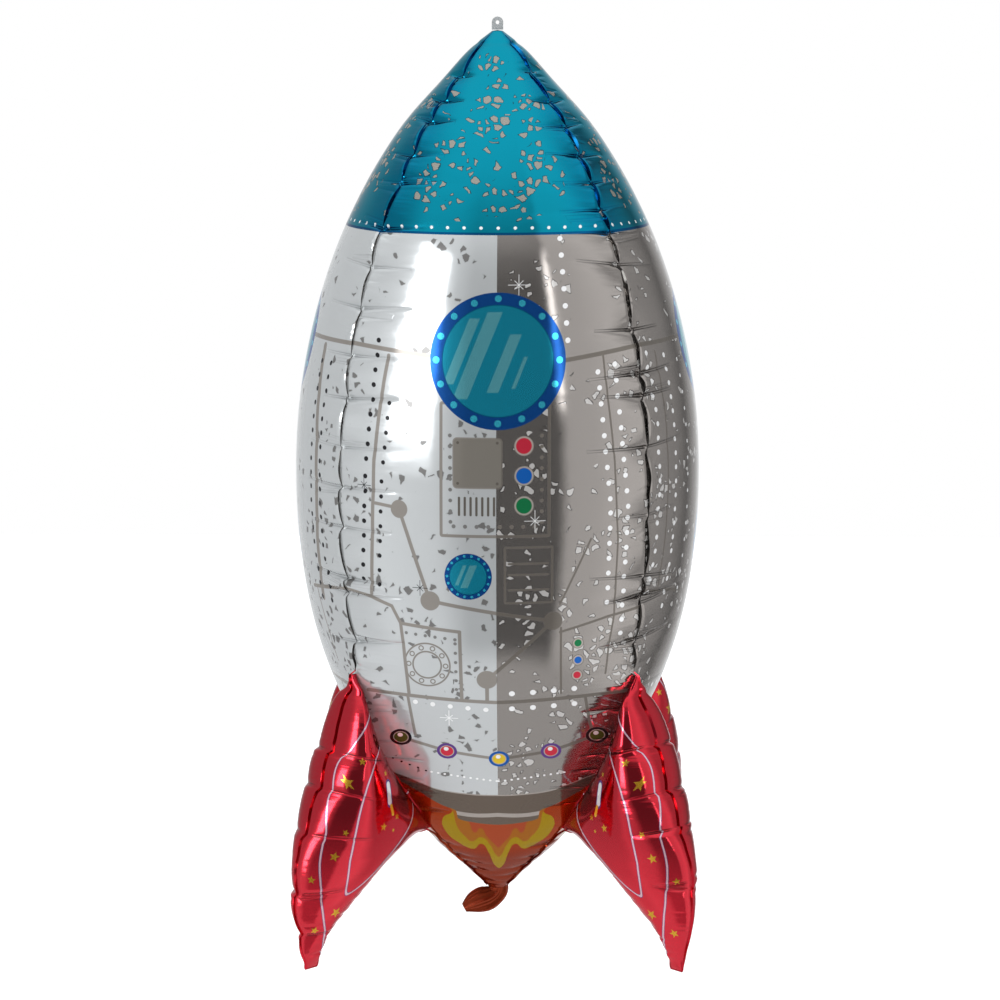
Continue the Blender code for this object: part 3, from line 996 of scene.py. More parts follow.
@dataclass(frozen=True)
class BodyPrint:
    """Riveted plating, windows and instruments of the hull, with the bands and flames at its tail."""

    kind: PanelKind
    flake_cell: float = 6.6
    flake_cover: float = 0.5
    # sideways place where the shaded half begins
    split_at: float = 0.0024
    nose_line_at: float = 193.4
    # share across, film length by which the silver ends higher there
    silver_lift: Curve = ((0, 0), (0.3, 0.5), (0.58, 3), (0.74, 9), (0.95, 19.6), (1.0, 22))
    # distance from the middle, film length where the dark band ends, and the ring under it
    band_end: Curve = ((0, 677), (33, 677), (44.5, 671.3), (60.5, 659.2), (80, 642))
    ring_end: Curve = (
        (0, 691.5), (20, 689.4), (32.4, 685.6), (33.6, 677), (44.5, 671.3), (60.5, 659.2), (80, 642),
    )
    # the same where the yellow of the flames begins, and where their yellow, orange and core end
    yellow_start: Curve = ((0, 600), (36, 600), (36.6, 677.5), (44.4, 686.4), (46, 695), (47, 720), (80, 760))
    flame_low: Curve = (
        (0, 757.5), (3.5, 751), (8.2, 729), (13.8, 717.5), (20, 725.5), (27, 724), (33, 718.5), (40.4, 711),
        (44.5, 702), (47.5, 690), (80, 640),
    )
    flame_middle: Curve = (
        (0, 737), (3, 731), (6.5, 719), (13.7, 708.5), (22, 715), (27, 709), (31, 703), (34.5, 692), (36.5, 678),
        (80, 640),
    )
    flame_high: Curve = ((0, 723), (4, 716), (9.5, 706.5), (14, 696.5), (19, 703), (23.5, 690), (80, 640))
    # lines from place to place: half width, places
    paths: tuple[Path, ...] = (
        (1.7, (-132, 280), (-47, 288)), (1.7, (55, 291), (132, 281)), (1.6, (-100, 557), (3, 561), (108, 557)),
        (1.5, (-83, 289), (-89.2, 323), (-95.2, 369), (-98.6, 474)), (1.5, (-126, 472), (-100, 476.5)),
        (1.4, (-100, 476.5), (-81, 482.5), (-73.7, 495.9), (-67.2, 556)),
        (1.4, (-73.7, 496), (-26, 500), (-24.8, 558)), (1.3, (-94, 402), (-76, 404)),
        (1.5, (-73.7, 405), (-49, 475.7), (20, 487), (46, 491.4), (-5.1, 540.4), (-5.1, 560)),
        (0.9, (12, 444.8), (42, 444.8)), (0.9, (12, 453.5), (42, 453.5)), (0.9, (12, 465.5), (42, 465.5)),
        (1.2, (72, 560), (76, 596)), (1.2, (-68, 560), (-62, 596)),
        (1.5, (-72.8, 599.4), (-37.4, 610.5), (3.6, 617), (44.4, 610.4), (79, 597)),
        (1.0, (51.7, 501), (91.5, 491.2), (121, 486.5)), (0.9, (52.4, 497.6), (52.5, 554.2)),
        (0.8, (76.4, 427.9), (51.5, 478)), (0.8, (86.1, 289.2), (95.9, 366.7), (99.4, 430), (96.8, 490), (88.9, 540)),
    )
    plating_paths: tuple[Path, ...] = (
        (1.7, (-132, 283), (132, 282)), (2.8, (76, 288), (89, 361), (91.7, 408), (84.3, 487)),
        (1.5, (66, 481), (126, 473)), (0.8, (74, 482), (82, 540)), (1.0, (-97, 290), (-105, 478)),
        (1.2, (-126, 474), (-60, 484)),
    )
    shared_from: float = 550.0
    # plates: middle, half size, corner, half width of the edge line, ink of the face
    plates: tuple[tuple[float | Tone | None, ...], ...] = (
        (1.5, 373.0, 41.2, 50.4, 1.0, 1.2, None), (-11.8, 367.6, 18.5, 18.9, 3.0, 0.5, Tone.PLATE),
        (27.1, 454.0, 18.1, 21.9, 0.5, 0.9, None),
    )
    screws: tuple[Row, ...] = ((-26.8, 352.2), (3.2, 352.2), (-26.8, 383.0), (3.2, 383.0))
    grille: tuple[Row, ...] = tuple((-25.8 + 4.43 * k, 394, -25.8 + 4.43 * k, 407, 0.9) for k in range(7))
    # grille left free of flakes: middle, half size
    grille_clear: Row = (-12.5, 400.5, 17.0, 9.0)
    gauge: Row = (-52.2, 529.6)
    joints: tuple[Row, ...] = ((-73.7, 405, 7.0), (-49, 475.7, 7.8), (46, 491.4, 7.6), (-5.1, 540.4, 8.0))
    buttons: tuple[tuple[float, float, float, Tone], ...] = (
        (23.3, 354.5, 6.0, Tone.RED), (23.4, 377.1, 6.0, Tone.BLUE), (23.4, 399.9, 6.0, Tone.GREEN),
        (66.4, 511.3, 3.0, Tone.GREEN), (66.4, 525.9, 3.0, Tone.BLUE), (65.5, 539.0, 3.0, Tone.RED),
    )
    sparkles: tuple[tuple[float, float, float, Tone], ...] = (
        (19, 232.8, 8, Tone.WHITE), (31.8, 411.7, 8, Tone.WHITE), (-35.2, 577.1, 7, Tone.WHITE),
        (-57, 465.8, 6, Tone.BLACK), (-104.3, 389, 6, Tone.BLACK),
    )
    # lamps: middle, ink of the rim, ink of the glass
    lamps: tuple[tuple[float, float, Tone, Tone], ...] = (
        (-72.8, 599.4, Tone.BLACK, Tone.OLIVE), (-37.4, 610.5, Tone.PURPLE, Tone.RED),
        (3.6, 617.0, Tone.NAVY, Tone.YELLOW), (44.4, 610.4, Tone.PURPLE, Tone.RED),
        (79.0, 597.0, Tone.BLACK, Tone.OLIVE),
    )
    # rows of rivets: places of both ends, pitch, radius
    rivet_rows: tuple[Row, ...] = (
        (-91.8, 278, -102.4, 371, 11.4, 1.9), (-103, 382, -106.2, 464, 11.6, 1.9), (-82, 325, -87.6, 374, 11.4, 1.7),
        (-88.6, 385, -91.5, 464, 11.6, 1.7), (-84, 620, -52, 634, 6.5, 0.9), (50.9, 197, 57.2, 277, 13.2, 2.1),
        (81.8, 301, 92.2, 397, 12.2, 2.0), (92.8, 409, 90.6, 480, 11.8, 2.0), (96.1, 296, 107.7, 402, 12.2, 2.0),
        (108, 414, 102.8, 506, 11.6, 2.0), (14, 553, 64, 551, 16.4, 2.3), (14, 567, 64, 565, 16.4, 2.3),
    )
    frame_rivets: tuple[Row, ...] = (
        (-32.8, 347, -32.4, 414, 8.2, 1.5), (-30, 416, 34, 416, 8.8, 1.6), (37, 347, 37, 414, 8.2, 1.5),
        (-69, 503.5, -31, 506.5, 7.9, 1.4), (-29.5, 510, -28.8, 556, 8.0, 1.4),
    )
    plating_rivets: tuple[Row, ...] = (
        (77, 300, 82.5, 482, 11.0, 2.0), (94, 300, 100, 484, 11.0, 2.0), (-110, 290, -118, 480, 11.0, 2.0),
        (-84, 294, -92, 488, 11.0, 2.0), (-60, 300, -66, 480, 13.0, 1.6),
    )
    tail_rivets: tuple[Row, ...] = (
        (-50, 634, 3, 641, 5.2, 1.0), (3, 641, 56, 634, 5.2, 1.0), (-62, 564, -6, 568, 14, 2.0),
    )
    windows: tuple[Porthole, ...] = (
        Porthole(3.5, 290.5, 52.0, 9.6, 16, WIDE_GLINTS), Porthole(-19.1, 455.1, 18.2, 3.8, 18, SMALL_GLINTS),
    )
    plating_windows: tuple[Porthole, ...] = (
        Porthole(0, 290, 44.0, 8.4, 14, WIDE_GLINTS), Porthole(0, 447, 30.0, 6.0, 10, SMALL_GLINTS),
    )

    @property
    def has_instruments(self) -> bool:
        """Whether its kind of panel has the instruments."""
        return self.kind is PanelKind.INSTRUMENTS

    def draw(self, coat: Coat) -> None:
        """Draws the print."""
        s = coat.sketch
        u, v, _ = s.split(coat.film)
        across, _, _ = s.split(s.own_map("share"))
        aside = s.math("ABSOLUTE", across)
        x, _, _ = s.split(s.node("ShaderNodeTexCoord").outputs["Object"])
        shade = s.step(x, self.split_at - 0.0002, self.split_at + 0.0002)
        coat.colour, coat.cover = s.over(Tone.SILVER, Tone.TAUPE, shade), s.blend(0.42, 0.05, shade)
        coat.crinkle = s.step(aside, 0.50, 1.0)
        line_ink = s.over(Tone.LINE_LIGHT, Tone.LINE_DARK, shade)
        self.scatter(coat, v, shade)
        for row in self.shown_strokes():
            coat.stroke(row, line_ink)
        self.rivets(coat, shade)
        if self.has_instruments:
            self.instruments(coat, line_ink)
        for window in self.windows if self.has_instruments else self.plating_windows:
            window.draw(coat)
        self.light_row(coat)
        coat.lay(Tone.LINE_LIGHT, s.step(v, self.nose_line_at, self.nose_line_at - 0.4), None)
        self.tail(coat, u, v, aside)
        # painted shade: black on the walls of the folds, stronger on the shaded half
        coat.paint_crease_shade(Tone.BLACK, s.blend(0.22, 0.85, shade))

    def shown_strokes(self) -> list[Row]:
        """Lines of the print that its kind of panel has."""
        rows = legs(self.paths)
        if self.has_instruments:
            return rows
        return [*(row for row in rows if row[1] > self.shared_from), *legs(self.plating_paths)]

    def scatter(self, coat: Coat, v: Socket, shade: Socket) -> None:
        """Lays the broken flakes: dark ones on the silver, pale ones on the shaded half, fewer of them high up."""
        s = coat.sketch
        crowd = s.step(s.noise(coat.film, 0.024, 1.0).outputs["Fac"], 0.43, 0.64)
        low = s.step(v, 250.0, 480.0)
        share = s.mul(s.math("MULTIPLY_ADD", crowd, 0.42, 0.08), s.blend(0.55, 1.0, low))
        share = s.mul(share, s.blend(0.75, 1.0, shade))
        if self.has_instruments:
            middle_x, middle_y, half_x, half_y = self.grille_clear
            x, _, _ = s.split(coat.film)
            aside = s.div(s.math("ABSOLUTE", s.sub(x, middle_x)), half_x)
            along = s.div(s.math("ABSOLUTE", s.sub(v, middle_y)), half_y)
            share = s.mul(share, s.step(s.math("MAXIMUM", aside, along), 1.0, 1.1))
        ink = s.over(Tone.FLAKE_DARK, Tone.FLAKE_PALE, shade)
        line = coat.flakes(self.flake_cell, share, ink, self.flake_cover)
        coat.lay(Tone.BLACK, s.mul(line, s.blend(0.15, 0.65, shade)), None)

    def rivets(self, coat: Coat, shade: Socket) -> None:
        """Lays the rivet rows."""
        strong = coat.sketch.over(Tone.BLACK, Tone.WHITE, shade)
        soft = coat.sketch.over(Tone.FLAKE_DARK, Tone.LINE_DARK, shade)
        own, framed = (self.rivet_rows, self.frame_rivets) if self.has_instruments else (self.plating_rivets, ())
        for rows, ink in ((own, strong), (framed, soft), (self.tail_rivets, Tone.WHITE)):
            for row in rows:
                coat.rivet_line(row, ink)

    def instruments(self, coat: Coat, line_ink: Socket) -> None:
        """Lays the hatch, plate, grille, vent, gauge, joints, buttons and sparkles."""
        for x, y, half_x, half_y, corner, half, ink in self.plates:
            sizes = {"Centre": (x, y, 0.0), "Half size": (half_x, half_y, 0.0), "Corner": corner, "Half width": half}
            plate = coat.sketch.group(coat.shapes.plate, Film=coat.film, **sizes)
            if ink:
                coat.lay(ink, plate.outputs["Face"], 0.4)
            coat.lay(line_ink, plate.outputs["Edge"], 0.5)
        for x, y in self.screws:
            coat.disc(x, y, 1.1, Tone.LINE_DARK, None)
        for bar in self.grille:
            coat.stroke(bar, Tone.LINE_DARK, None)
        for radius in (18.4, 11.5):
            coat.ring(*self.gauge, radius, 0.7, line_ink)
        for radius, ink in ((2.3, Tone.LINE_LIGHT), (1.3, Tone.SILVER)):
            coat.rivet_ring(*self.gauge, 15.0, 10, radius, ink)
        for joint in self.joints:
            coat.disc(*joint, line_ink)
        for x, y, radius, ink in self.buttons:
            for size, tone in ((radius + 1.7, Tone.LINE_DARK), (radius + 1.2, Tone.BAND_LIGHT), (radius, ink)):
                coat.disc(x, y, size, tone)
        for x, y, size, ink in self.sparkles:
            short = size * 0.4
            for ax, ay in ((size, 0), (0, size), (short, short), (short, -short)):
                coat.stroke((x - ax, y - ay, x + ax, y + ay, 0.25), ink, 0.6)

    def light_row(self, coat: Coat) -> None:
        """Lays the row of coloured lamps above the tail."""
        for x, y, rim, ink in self.lamps:
            for radius, tone in ((8.0, rim), (5.7, Tone.BAND_LIGHT), (5.0, ink)):
                coat.disc(x, y, radius, tone)
            coat.disc(x - 0.6, y - 2.2, 1.9, Tone.WHITE)

    def tail(self, coat: Coat, u: Socket, v: Socket, aside: Socket) -> None:
        """Lays the bands and the flames over the end of the hull."""
        s = coat.sketch
        away = s.math("ABSOLUTE", s.sub(u, 2.0))
        silver = s.add(v, s.curve(aside, self.silver_lift))
        below_band = s.sub(v, s.curve(away, self.band_end))
        for past, start, ink in (
            (silver, 656.2, Tone.BAND_LIGHT),
            (silver, 657.4, Tone.BAND_BROWN),
            (below_band, 0.0, Tone.BAND_LIGHT),
            (below_band, 4.6, Tone.BAND_BROWN),
        ):
            coat.lay(ink, s.step(past, start, start + 0.4), 0.3)
        lit = s.step(s.sub(v, s.curve(away, self.ring_end)), 0.0, 0.4)
        coat.lay(s.over(Tone.FLAME_DEEP, Tone.FLAME_RED, s.step(v, 742.0, 712.0)), lit, 0.2)
        begun = s.step(s.sub(v, s.curve(away, self.yellow_start)), -0.3, 0.3)
        for edge, ink, shown in (
            (self.flame_low, Tone.FLAME_YELLOW, s.mul(begun, lit)),
            (self.flame_middle, Tone.FLAME_ORANGE, lit),
            (self.flame_high, Tone.FLAME_CORE, lit),
        ):
            coat.lay(ink, s.mul(s.step(s.sub(s.curve(away, edge), v), -0.3, 0.3), shown), None)


@dataclass(frozen=True)
class FinPrint:
    """Red fin with two outlines, gold stars and a shooting star, on film that is more opaque low down."""

    # depth, distance from the axis
    outer_line: Curve = (
        (500, 128), (520, 150), (545, 172), (568, 184.8), (608, 198.7), (635, 204.2), (660, 204.0), (677, 200.5),
        (700, 196), (723, 194),
    )
    inner_line: Curve = ((530, 118), (546, 143), (560, 160), (597, 177.5), (641, 184), (672, 184))
    low_line: Curve = (
        (590, 92), (605, 110), (617, 122), (627, 134), (640, 149), (652, 164), (660, 177), (668, 196),
    )
    low_slope: float = 0.64
    least_slope: float = 0.18
    # distance from the axis, depth, radius, turn
    stars: tuple[Row, ...] = (
        (170.5, 557.2, 3.3, 0.1), (181.9, 572.7, 6.0, 0.0), (188.1, 610.6, 2.9, 0.5), (195.3, 629.3, 4.2, 0.3),
        (210.0, 647.0, 3.4, 0.2), (190.2, 676.4, 4.6, 0.6), (206.0, 689.5, 3.8, 0.4), (155.0, 611.0, 3.6, 0.2),
        (144.0, 616.0, 1.8, 0.0), (148.6, 570.0, 2.5, 0.3), (139.0, 606.0, 3.0, 0.1),
    )
    shooting_star: tuple[tuple[Row, Tone], ...] = (
        ((147, 578, 147, 594, 3.2), Tone.PURPLE),
        ((147, 579, 147, 593, 2.3), Tone.WHITE),
        ((145.5, 596, 144, 603, 1.5), Tone.GOLD),
    )

    def draw(self, coat: Coat) -> None:
        """Draws the print."""
        s = coat.sketch
        r, d, _ = s.split(coat.film)
        across, slope, _ = s.split(s.own_map("share"))
        stretch = s.div(1.0, s.math("MAXIMUM", slope, self.least_slope))
        outer = s.math("ABSOLUTE", s.sub(r, s.curve(d, self.outer_line)))
        inside = s.sub(r, s.curve(d, self.inner_line))
        under = s.mul(s.sub(s.curve(d, self.low_line), r), self.low_slope)
        region = s.math("ABSOLUTE", s.math("SMOOTH_MAX", inside, under, 8.0))
        lines = s.mul(s.math("MINIMUM", outer, region), stretch)
        widen = s.join(stretch, 1.0, 1.0)
        coat.colour, coat.cover = Tone.FIN_RED, s.mul(s.step(d, 590.0, 670.0), 0.36)
        coat.crinkle = s.step(across, 0.40, 1.0)
        coat.lay(Tone.PURPLE, s.step(lines, 1.15, 0.95), 0.3)
        coat.lay(Tone.ROSE, s.step(lines, 0.80, 0.60), 0.5)
        for row, ink in self.shooting_star:
            coat.stroke(row, ink)
        place = s.vector("MULTIPLY", coat.film, widen)
        for x, y, radius, turn in self.stars:
            centre = s.vector("MULTIPLY", (x, y, 0.0), widen)
            star = s.group(coat.shapes.star, Film=place, Centre=centre, Radius=radius, Turn=turn + math.pi / 2)
            coat.lay(Tone.GOLD, star.outputs["Mask"], 0.2)
        # painted shade: black on the walls of the folds
        coat.paint_crease_shade(Tone.BLACK, 0.6)


@dataclass(frozen=True)
class SealPrint:
    """Print that runs on over the sealed edge, by the length along it; its darker runs over the nose and hull are
    painted shade.
    """

    # start, ink
    runs: tuple[tuple[float, Tone], ...]

    def draw(self, coat: Coat) -> None:
        """Draws the print."""
        _, v, _ = coat.sketch.split(coat.film)
        coat.colour = self.runs[0][1]
        for start, tone in self.runs[1:]:
            coat.lay(tone, coat.sketch.step(v, start - 0.3, start + 0.3), None)


def fade(value: Array, low: float, high: float) -> Array:
    """Smooth rise from 0 at the low value to 1 at the high one; the low value may be the greater."""
    s = np.clip((value - low) / (high - low), 0, 1)
    return s * s * (3 - 2 * s)


def add_folds(height: Array, folds: Sequence[Crease], along: Array, away: Array) -> None:
    """Adds folds to the heights of a grid whose rows run along the seam.

    Args:
        height: Heights to add to.
        folds: The folds.
        along: Film length along the seam of each point.
        away: Film distance from the seam of each point.
    """
    lowest, highest = along.min(axis=1), along.max(axis=1)
    for fold in folds:
        margin = 4.5 * fold.width + abs(fold.lean) * fold.reach
        rows = np.flatnonzero((highest > fold.place - margin) & (lowest < fold.place + margin))
        if len(rows):
            part = slice(rows[0], rows[-1] + 1)
            height[part] += fold.height(along[part], away[part]) * fade(away[part], 0.0, 0.0028)


def crease_lines(runs: Sequence[tuple[Sequence[Crease], Array, Array]]) -> Array:
    """Map of the sharp lines in the middle of folds.

    Args:
        runs: Folds of each seam, with the film lengths along it and the distances from it.

    Returns:
        For each point, the distance past the nearest line in metres, and the strength of the line there.
    """
    nearest, strength = np.full(runs[0][1].shape, 1.0), np.zeros(runs[0][1].shape)
    for folds, along, away in runs:
        for fold in (fold for fold in folds if fold.reach > LINED_FROM):
            offset = along - fold.place - fold.lean * away
            run = np.clip(1 - away / fold.reach, 0, 1) ** 0.4 * fade(away, 0.0, 0.003)
            run *= min(1.0, fold.depth / FULL_LINE_DEPTH)
            closer = (np.abs(offset) < np.abs(nearest)) & (run > 0)
            nearest, strength = np.where(closer, offset, nearest), np.where(closer, run, strength)
    return np.stack([nearest, strength * np.exp(-((nearest / 0.003) ** 2))], -1)


@dataclass
class SeamLine:
    """Seam of two body panels at one corner, nose to fin and fin to tail, with its puckers."""

    corner: int
    body: BodyForm
    fin: FinForm
    # film lengths of the pinches of the two front seams
    known: tuple[tuple[int, tuple[float, ...]], ...] = (
        (
            0,
            (
                0.0453, 0.0760, 0.1008, 0.1273, 0.1518, 0.1746, 0.1936, 0.2194, 0.2704, 0.3044, 0.3213, 0.3612, 0.4139,
                0.4623, 0.4785, 0.5149,
            ),
        ),
        (
            3,
            (
                0.0504, 0.0761, 0.0971, 0.1284, 0.1520, 0.1898, 0.2214, 0.2538, 0.2911, 0.3243, 0.3620, 0.3929, 0.4242,
                0.4657, 0.4770, 0.5177,
            ),
        ),
    )
    upper: Puckers = field(init=False)
    valley: Puckers = field(init=False)
    lower: Puckers = field(init=False)

    def __post_init__(self) -> None:
        """Places the puckers of its stretches."""
        seed = 11 + 17 * self.corner
        top, notch = float(self.body.arc(self.fin.top)), float(self.body.arc(self.fin.notch))
        end = float(self.body.arc(self.body.length))
        self.upper = Puckers(seed, 0.012, top - 0.004, known=dict(self.known).get(self.corner, ()))
        self.valley = Puckers(
            seed + 1,
            top + 0.012,
            notch - 0.012,
            lobe=(0.014, 0.028),
            pinch=0.0,
            sidestep=0.0,
            fold_depth=(0.0006, 0.0015),
            fold_reach=(0.016, 0.044),
        )
        self.lower = Puckers(
            seed + 2,
            notch + 0.004,
            end - 0.006,
            lobe=(0.010, 0.019),
            pinch=0.0012,
            sidestep=0.0007,
            fold_depth=(0.0003, 0.0008),
            fold_reach=(0.010, 0.026),
        )

    def stretches(self) -> tuple[Puckers, Puckers, Puckers]:
        """Its puckers, from nose to tail."""
        return self.upper, self.valley, self.lower

    def shift(self, arc: Array) -> tuple[Array, Array]:
        """Pull inwards and shift sideways of the seam at film lengths from the nose tip."""
        inward, aside = np.zeros_like(arc), np.zeros_like(arc)
        for run in self.stretches():
            held = fade(arc, run.start, run.start + 0.006) * fade(arc, run.end, run.end - 0.006)
            inward += run.pinch * run.pull(arc) * held
            aside += run.aside(arc) * held
        return inward, aside


@dataclass
class BodyFilm:
    """Four printed panels of the body, each cut into its nose, hull and flame sections."""

    body: BodyForm
    seams: Sequence[SeamLine]
    columns: int = 79
    crowding: float = 0.85
    row_pitch: float = 0.00085
    swell: float = 0.0022
    pull_reach: float = 0.011
    aside_reach: float = 0.009
    longest_fold: float = 0.45
    # shares of a fold's depth, reach and width
    broad: tuple[float, float, float] = (0.32, 1.7, 3.4)
    tip_closing: float = 0.05

    def rows(self) -> tuple[Array, dict[str, slice]]:
        """Middle depths of the rows of points, and the rows of each section."""
        depths = (0.0, self.body.nose_end, self.body.hull_end, self.body.length)
        ends = [float(self.body.arc(depth)) for depth in depths]
        arcs, parts, start = [np.array(ends[:1])], {}, 0
        for name, low, high in zip(("nose", "hull", "flame"), ends[:-1], ends[1:]):
            count = int((high - low) / self.row_pitch)
            arcs.append(np.linspace(low, high, count + 1)[1:])
            parts[name] = slice(start, start + count + 1)
            start += count
        return self.body.depth_at(np.concatenate(arcs)), parts

    def gathered(self, turn: int, t: Array, depth: Array) -> tuple[Array, Array, Array, Array]:
        """What the puckers of both seams do to a panel.

        Args:
            turn: Quarter turns from the front.
            t: Shares across.
            depth: Depths of the smooth film.

        Returns:
            Heights, pulls inwards, shifts sideways, and the map of the folds' lines.
        """
        arc = self.body.arc(depth)
        height, inwards, sideways = (np.zeros_like(depth) for _ in range(3))
        lines = []
        half_width = self.body.middle(depth[:, 0]) * math.pi / 4
        for sign, seam in ((1, self.seams[turn]), (-1, self.seams[(turn - 1) % 4])):
            away = self.body.middle(depth) * (1 - sign * t) * math.pi / 4
            inward, aside = seam.shift(arc)
            inwards += inward * np.exp(-((away / self.pull_reach) ** 1.5))
            sideways += aside * np.exp(-((away / self.aside_reach) ** 1.6))
            for run in seam.stretches():
                folds = []
                for fold in run.folds(sign):
                    longest = self.longest_fold * float(np.interp(fold.place, arc[:, 0], half_width))
                    folds.append(replace(fold, reach=min(fold.reach, longest)))
                lines.append((folds, arc, away))
                broad = [fold.broadened(*self.broad) for fold in folds if fold.reach > BROAD_FROM]
                add_folds(height, folds + broad, arc, away)
            lobe = np.zeros_like(depth)
            for run, size in ((seam.upper, 1.0), (seam.lower, 0.3)):
                number, s = run.phase(arc)
                inside = (arc > run.start) & (arc < run.end)
                lobe += np.where(inside, np.sin(np.pi * s) ** 0.8, 0) * run.weights[number] * size
            grown = fade(arc, 0.02, 0.12) * 0.6 + 0.4
            decay = 0.006 + 0.009 * fade(arc, 0.14, 0.26)
            height += self.swell * grown * lobe * np.exp(-away / decay) * fade(away, 0.0, 0.0045)
        return height * fade(arc, 0.004, 0.020), inwards, sideways, crease_lines(lines)

    def panel(self, turn: int) -> FilmGrid:
        """Film of one panel, by its quarter turns from the front."""
        depths, _ = self.rows()
        t, middle = np.meshgrid(spread_to_ends(self.columns, self.crowding), depths)
        end = self.body.hull_end
        rise = self.body.hull_end_rise * fade(middle, 0.50, end) * fade(middle, self.body.length, end)
        depth = middle - rise * t * t
        angle = t * math.pi / 4
        radius = self.body.radius(t, depth)
        base = np.stack([radius * np.sin(angle), -radius * np.cos(angle), -TIP_BELOW_HOLE - depth], -1)
        height, inwards, sideways, lines = self.gathered(turn, t, depth)
        tangent = np.stack([np.cos(angle), np.sin(angle), np.zeros_like(angle)], -1)
        points = base + grid_normals(base) * (height - inwards)[..., None] + tangent * sideways[..., None]
        points[[0, -1], :, :2] *= self.tip_closing
        film = np.stack([self.body.middle(depth) * angle, self.body.arc(depth)], -1)
        maps = {"film": film, "share": np.stack([t, depth], -1), "crease": lines}
        return FilmGrid(turned(points, turn), turned(grid_normals(points), turn), maps)

    def build(self, materials: dict[str, bpy.types.Material]) -> None:
        """Makes the twelve sections."""
        _, parts = self.rows()
        for turn, side in enumerate(PANEL_SIDES):
            panel = self.panel(turn)
            hull = materials["instrument_film" if turn % 2 == 0 else "plating_film"]
            for section, rows in parts.items():
                material = materials["nose_film"] if section == "nose" else hull
                node = f"{section}_{side}"
                panel.part(rows).build(f"{section}_film_{side}", material, node, f"{section}_foil")


@dataclass
class Gather:
    """How the puckers of an edge draw it in and set it aside, and which way is outward there."""

    outward: Array
    pull: Array
    aside: Array

    def moved(self, edge: Array) -> Array:
        """The edge (distance from the axis, depth) where the puckers put it, with its way sideways."""
        return np.column_stack([edge - self.outward * self.pull[:, None], self.aside])


